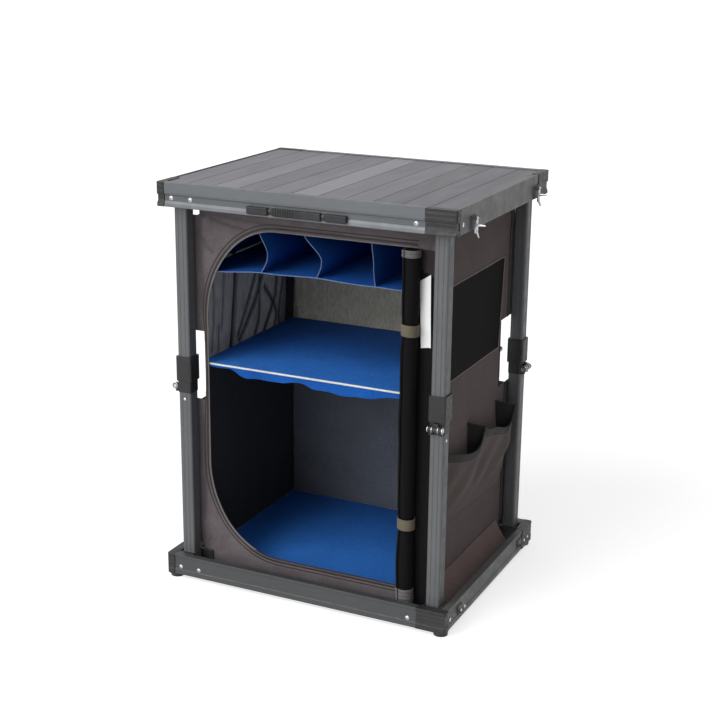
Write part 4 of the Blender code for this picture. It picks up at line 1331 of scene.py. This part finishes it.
def outline(low, high, radius, z, inset=0.0, grow=0.0):
    """The outline of a board with round corners at one height."""
    middle = (low + high) / 2
    half_x, half_y = (high.x - low.x) / 2 + grow, (high.y - low.y) / 2 + grow
    points = []
    for k, (side_x, side_y) in enumerate(((1, 1), (-1, 1), (-1, -1), (1, -1))):
        for i in range(9):
            angle = pi / 2 * (k + i / 8)
            x = side_x * (half_x - radius) + (radius - inset) * cos(angle)
            y = side_y * (half_y - radius) + (radius - inset) * sin(angle)
            points.append(Vector((middle.x + x, middle.y + y, z)))
    return points


def rounded_board(low, high, radius, edge):
    """A board with round corners and soft edges, as rings from the underside up and over the top."""
    shape = bmesh.new()
    profile = [(edge, low.z), (0.3 * edge, low.z + 0.3 * edge), (0, low.z + edge)]
    profile += [(0, high.z - edge), (0.3 * edge, high.z - 0.3 * edge), (edge, high.z)]
    rings = []
    for inset, z in profile:
        rings.append([shape.verts.new(point) for point in outline(low, high, radius, z, inset)])
    for a, b in zip(rings, rings[1:]):
        wrap(shape, a, b)
    shape.faces.new(rings[0][::-1])
    shape.faces.new(rings[-1])
    return shape


def make_boards():
    """The blue covers of the two shelf boards, each with a pale strip round its edge."""
    for name, node, low, high, body, radius in (
        ("middle_shelf", "middle_shelf_board", shelf_low, shelf_high, "middle_shelf", 22 * mm),
        ("bottom_shelf", "bottom_shelf_board", floor_low, floor_high, "base", 6 * mm),
    ):
        board = piece(name + "_cover", rounded_board(low, high, radius, 1.2 * mm), blue_top)
        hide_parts(node)
        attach(board, body)
        middle = (low.z + high.z) / 2
        path = outline(low, high, radius, middle + 0.4 * mm, grow=-1.0 * mm)
        bar = tube(path, 1.35 * mm, 8, True, 1.6, across=(0, 0, 1))
        strip = piece(name + "_edge_strip", bar, pale_edge)
        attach(strip, body)


# Places along the shelf and how far the valance hangs down there, in millimetres
valance_stops = (
    (-240, 3), (-188, 3), (-145, 17), (-108, 14), (-75, 15), (-44, 9), (2, 16), (63, 21), (120, 17),
    (179, 8), (245, 12),
)


def valance_drop(x):
    """How far the valance hangs down at a place along the shelf."""
    for (a, low), (b, high) in zip(valance_stops, valance_stops[1:]):
        if a * mm <= x <= b * mm:
            return (low + (high - low) * ease((x / mm - a) / (b - a))) * mm
    return 3 * mm


def valance_point(u, v):
    """The valance from left to right and from its seam down."""
    x = shelf_low.x + 16 * mm + u * (shelf_high.x - shelf_low.x - 32 * mm)
    wave = sin(2 * pi * 5.2 * u) + 0.6 * sin(2 * pi * 9.1 * u + 1.1)
    drop = valance_drop(x) + 0.8 * mm * sin(2 * pi * 8.3 * u)
    out = (1.6 + 1.7 * wave * v) * mm
    return Vector((x, shelf_low.y + 1.2 * mm - 0.6 * mm + out, shelf_low.z - 0.3 * mm - drop * v))


def make_valance():
    """The loose blue hem that hangs under the shelf's front edge."""
    shape = weave_sheet(unit(150), unit(8), valance_point)
    made = piece("valance", shape, blue_front, 0.7 * mm)
    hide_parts("shelf_valance")
    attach(made, "middle_shelf")
    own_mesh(made)


# Each divider's top place, its bulge and its bottom place, in millimetres
divider_stops = ((-121, 17, -114), (-24, 23, 3.5), (118.5, 0, 127))


def divider_place(stops):
    """A divider, which bulges to the right low down and most at its front."""
    top, bulge, bottom = [value * mm for value in stops]
    low, high = organiser_low.z + 1.5 * mm, organiser_high.z
    front, back = organiser_low.y + 1.5 * mm, organiser_high.y - 2.5 * mm

    def place(u, v):
        widest, straight = 0.24, 0.62
        line = bottom + (top - bottom) * widest / straight
        if v < widest:
            x = bottom + (line + bulge - bottom) * sin(pi / 2 * v / widest)
        else:
            x = top + (line + bulge - top) * (1 - ease((v - widest) / (straight - widest)))
        y = front + u * (back - front)
        ripple = 0.8 * mm * wobble(y, 6, v, 60 * mm)
        calm = (x - bottom) * 0.6 * u
        return Vector((x - calm + ripple, y, low + v * (high - low)))

    return place


def floor_place(u, v):
    """The organiser's floor, which sags between the dividers and drops to its left end."""
    x = organiser_low.x + 1 * mm + u * (organiser_high.x - organiser_low.x - 2 * mm)
    y = organiser_low.y + 0.6 * mm + v * (organiser_high.y - organiser_low.y - 2.4 * mm)
    stops = [organiser_low.x] + [stop[2] * mm for stop in divider_stops] + [organiser_high.x]
    sag = 0.0
    for a, b in zip(stops, stops[1:]):
        if a <= x <= b:
            sag = sin(pi * (x - a) / (b - a))
    lift = (3 * bell(x / (110 * mm)) - 8 * ease((-x - 114 * mm) / (110 * mm)) * (1 - v)) * mm
    return Vector((x, y, organiser_low.z + 0.8 * mm + lift - 1.6 * mm * sag * sin(pi * (0.15 + 0.7 * v))))


def make_organiser():
    """The hanging organiser: floor, back, ends and curved dividers, with piping on their front edges."""
    low, high = organiser_low, organiser_high
    floor_sheet = piece("organiser_floor", weave_sheet(unit(90), unit(40), floor_place), blue_floor,
                        0.9 * mm)
    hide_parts("organiser")
    places = [divider_place(stops) for stops in divider_stops]
    sheets = [weave_sheet(unit(30), unit(18), place) for place in places]
    dividers = piece("organiser_dividers", join(sheets), blue_side, 0.9 * mm)
    xs = lines([low.x + 1.5 * mm, high.x - 1.5 * mm], 9 * mm)
    ys = lines([low.y + 4 * mm, high.y - 2 * mm], 9 * mm)
    zs = lines([low.z + 1 * mm, high.z], 9 * mm)
    sides = (low.x + 0.8 * mm, high.x - 0.8 * mm)
    sheets = [weave_sheet(ys, zs, lambda y, z, x=x: Vector((x, y, z))) for x in sides]
    ends = piece("organiser_ends", join(sheets), blue_side, 0.8 * mm)

    def back_place(x, z):
        return Vector((x, high.y - 1.2 * mm + 0.5 * mm * wobble(x, 7, z, 50 * mm), z))
    back = piece("organiser_back", weave_sheet(xs, zs, back_place), blue_front, 0.8 * mm)
    bars = [tube([place(0, v) for v in unit(24)], 0.9 * mm, 6) for place in places]
    bars.append(tube([floor_place(u, 0) for u in unit(90)], 1.0 * mm, 6))
    piping = piece("organiser_piping", join(bars), pale_piping)
    for made in (floor_sheet, dividers, ends, back, piping):
        with_top(made)


# The carry handle's band


def make_handle_band():
    """The band in two halves, each held by a cap at one end and by the grip at the other."""
    low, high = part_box("handle_band")
    for side, start, end in (("left", low.x, grip_low.x + 6 * mm), ("right", high.x, grip_high.x - 6 * mm)):
        xs = lines([start, end], 2 * mm)
        points = [Vector((x, (low.y + high.y) / 2, (low.z + high.z) / 2)) for x in xs]
        half_tall, half_deep = (high.z - low.z) / 2, (high.y - low.y) / 2
        bar = tube(points, half_tall, 12, flat=half_deep / half_tall)
        made = piece("handle_band_" + side, bar, smooth_plastic, sharp=60)
        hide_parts("handle_band")
        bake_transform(made)


# Floor, light and camera


def make_floor():
    """A wide pale floor that shows white and keeps a soft shadow."""
    size = 40.0
    shape = weave_sheet([-size, size], [-size, size], lambda x, y: Vector((x, y, 0)))
    mesh = bpy.data.meshes.new("floor")
    shape.to_mesh(mesh)
    shape.free()
    ground = bpy.data.objects.new("floor", mesh)
    bpy.context.scene.collection.objects.link(ground)
    made = Finish("floor", srgb(205, 205, 205), 0.9, specular=0.1)
    rays = made.node("ShaderNodeLightPath")
    seen = made.math("MAXIMUM", rays.outputs["Is Camera Ray"], rays.outputs["Is Glossy Ray"])
    seen = made.math("MAXIMUM", seen, rays.outputs["Is Transmission Ray"])
    made.set("Emission Color", (1, 1, 1, 1))
    made.set("Emission Strength", made.math("MULTIPLY", seen, 0.66))
    mesh.materials.append(made.done())
    ground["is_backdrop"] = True


sky_level = 0.26


def make_world():
    """White to the camera and to mirrors, and a plain soft sky for everything else."""
    world = bpy.data.worlds.new("studio")
    world.use_nodes = True
    tree = world.node_tree
    sky = tree.nodes["Background"]
    rays = tree.nodes.new("ShaderNodeLightPath")
    total = rays.outputs["Is Camera Ray"]
    for other in ("Is Glossy Ray", "Is Transmission Ray"):
        step = tree.nodes.new("ShaderNodeMath")
        step.operation = "MAXIMUM"
        tree.links.new(total, step.inputs[0])
        tree.links.new(rays.outputs[other], step.inputs[1])
        total = step.outputs[0]
    strength = tree.nodes.new("ShaderNodeMapRange")
    strength.inputs["To Min"].default_value = sky_level
    strength.inputs["To Max"].default_value = 1.0
    tree.links.new(total, strength.inputs["Value"])
    tree.links.new(strength.outputs[0], sky.inputs["Strength"])
    sky.inputs["Color"].default_value = (1, 1, 1, 1)
    bpy.context.scene.world = world


# Each lamp's name, the direction that it shines from, its strength and its spread in degrees
lamps = (
    ("key", (-0.5, -0.75, 0.7), 1.55, 40),
    ("over", (0.1, -0.15, 1), 0.45, 60),
    ("low", (-0.22, -1, 0.2), 1.35, 40),
)


def make_lamp(name, direction, strength, spread):
    """A wide soft light from far away."""
    data = bpy.data.lights.new(name, "SUN")
    data.energy = strength
    data.angle = radians(spread)
    lamp = bpy.data.objects.new(name, data)
    lamp.matrix_world = facing((0, 0, 3), direction)
    bpy.context.scene.collection.objects.link(lamp)


def make_camera():
    data = bpy.data.cameras.new("photo_view")
    data.lens = camera_lens
    data.sensor_width = 36
    data.clip_end = 200
    view = bpy.data.objects.new("photo_view", data)
    turn = Matrix.Rotation(radians(camera_azimuth), 4, "Z")
    turn = turn @ Matrix.Rotation(radians(90 - camera_elevation), 4, "X")
    turn = turn @ Matrix.Rotation(radians(camera_roll), 4, "Z")
    view.matrix_world = Matrix.Translation(camera_place) @ turn
    bpy.context.scene.collection.objects.link(view)
    bpy.context.scene.camera = view


make_camera()
make_world()
for lamp in lamps:
    make_lamp(*lamp)
make_floor()
paint_frame()
make_fasteners()
make_front()
make_left()
make_back()
make_right()
make_skirt()
make_pockets()
make_roll()
make_flap()
make_boards()
make_valance()
make_organiser()
make_handle_band()

bpy.context.scene.view_settings.view_transform = "Standard"

boxes = {"cad": cad_box, "visual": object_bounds()}
{name: [list(corner) for corner in pair] for name, pair in boxes.items()}
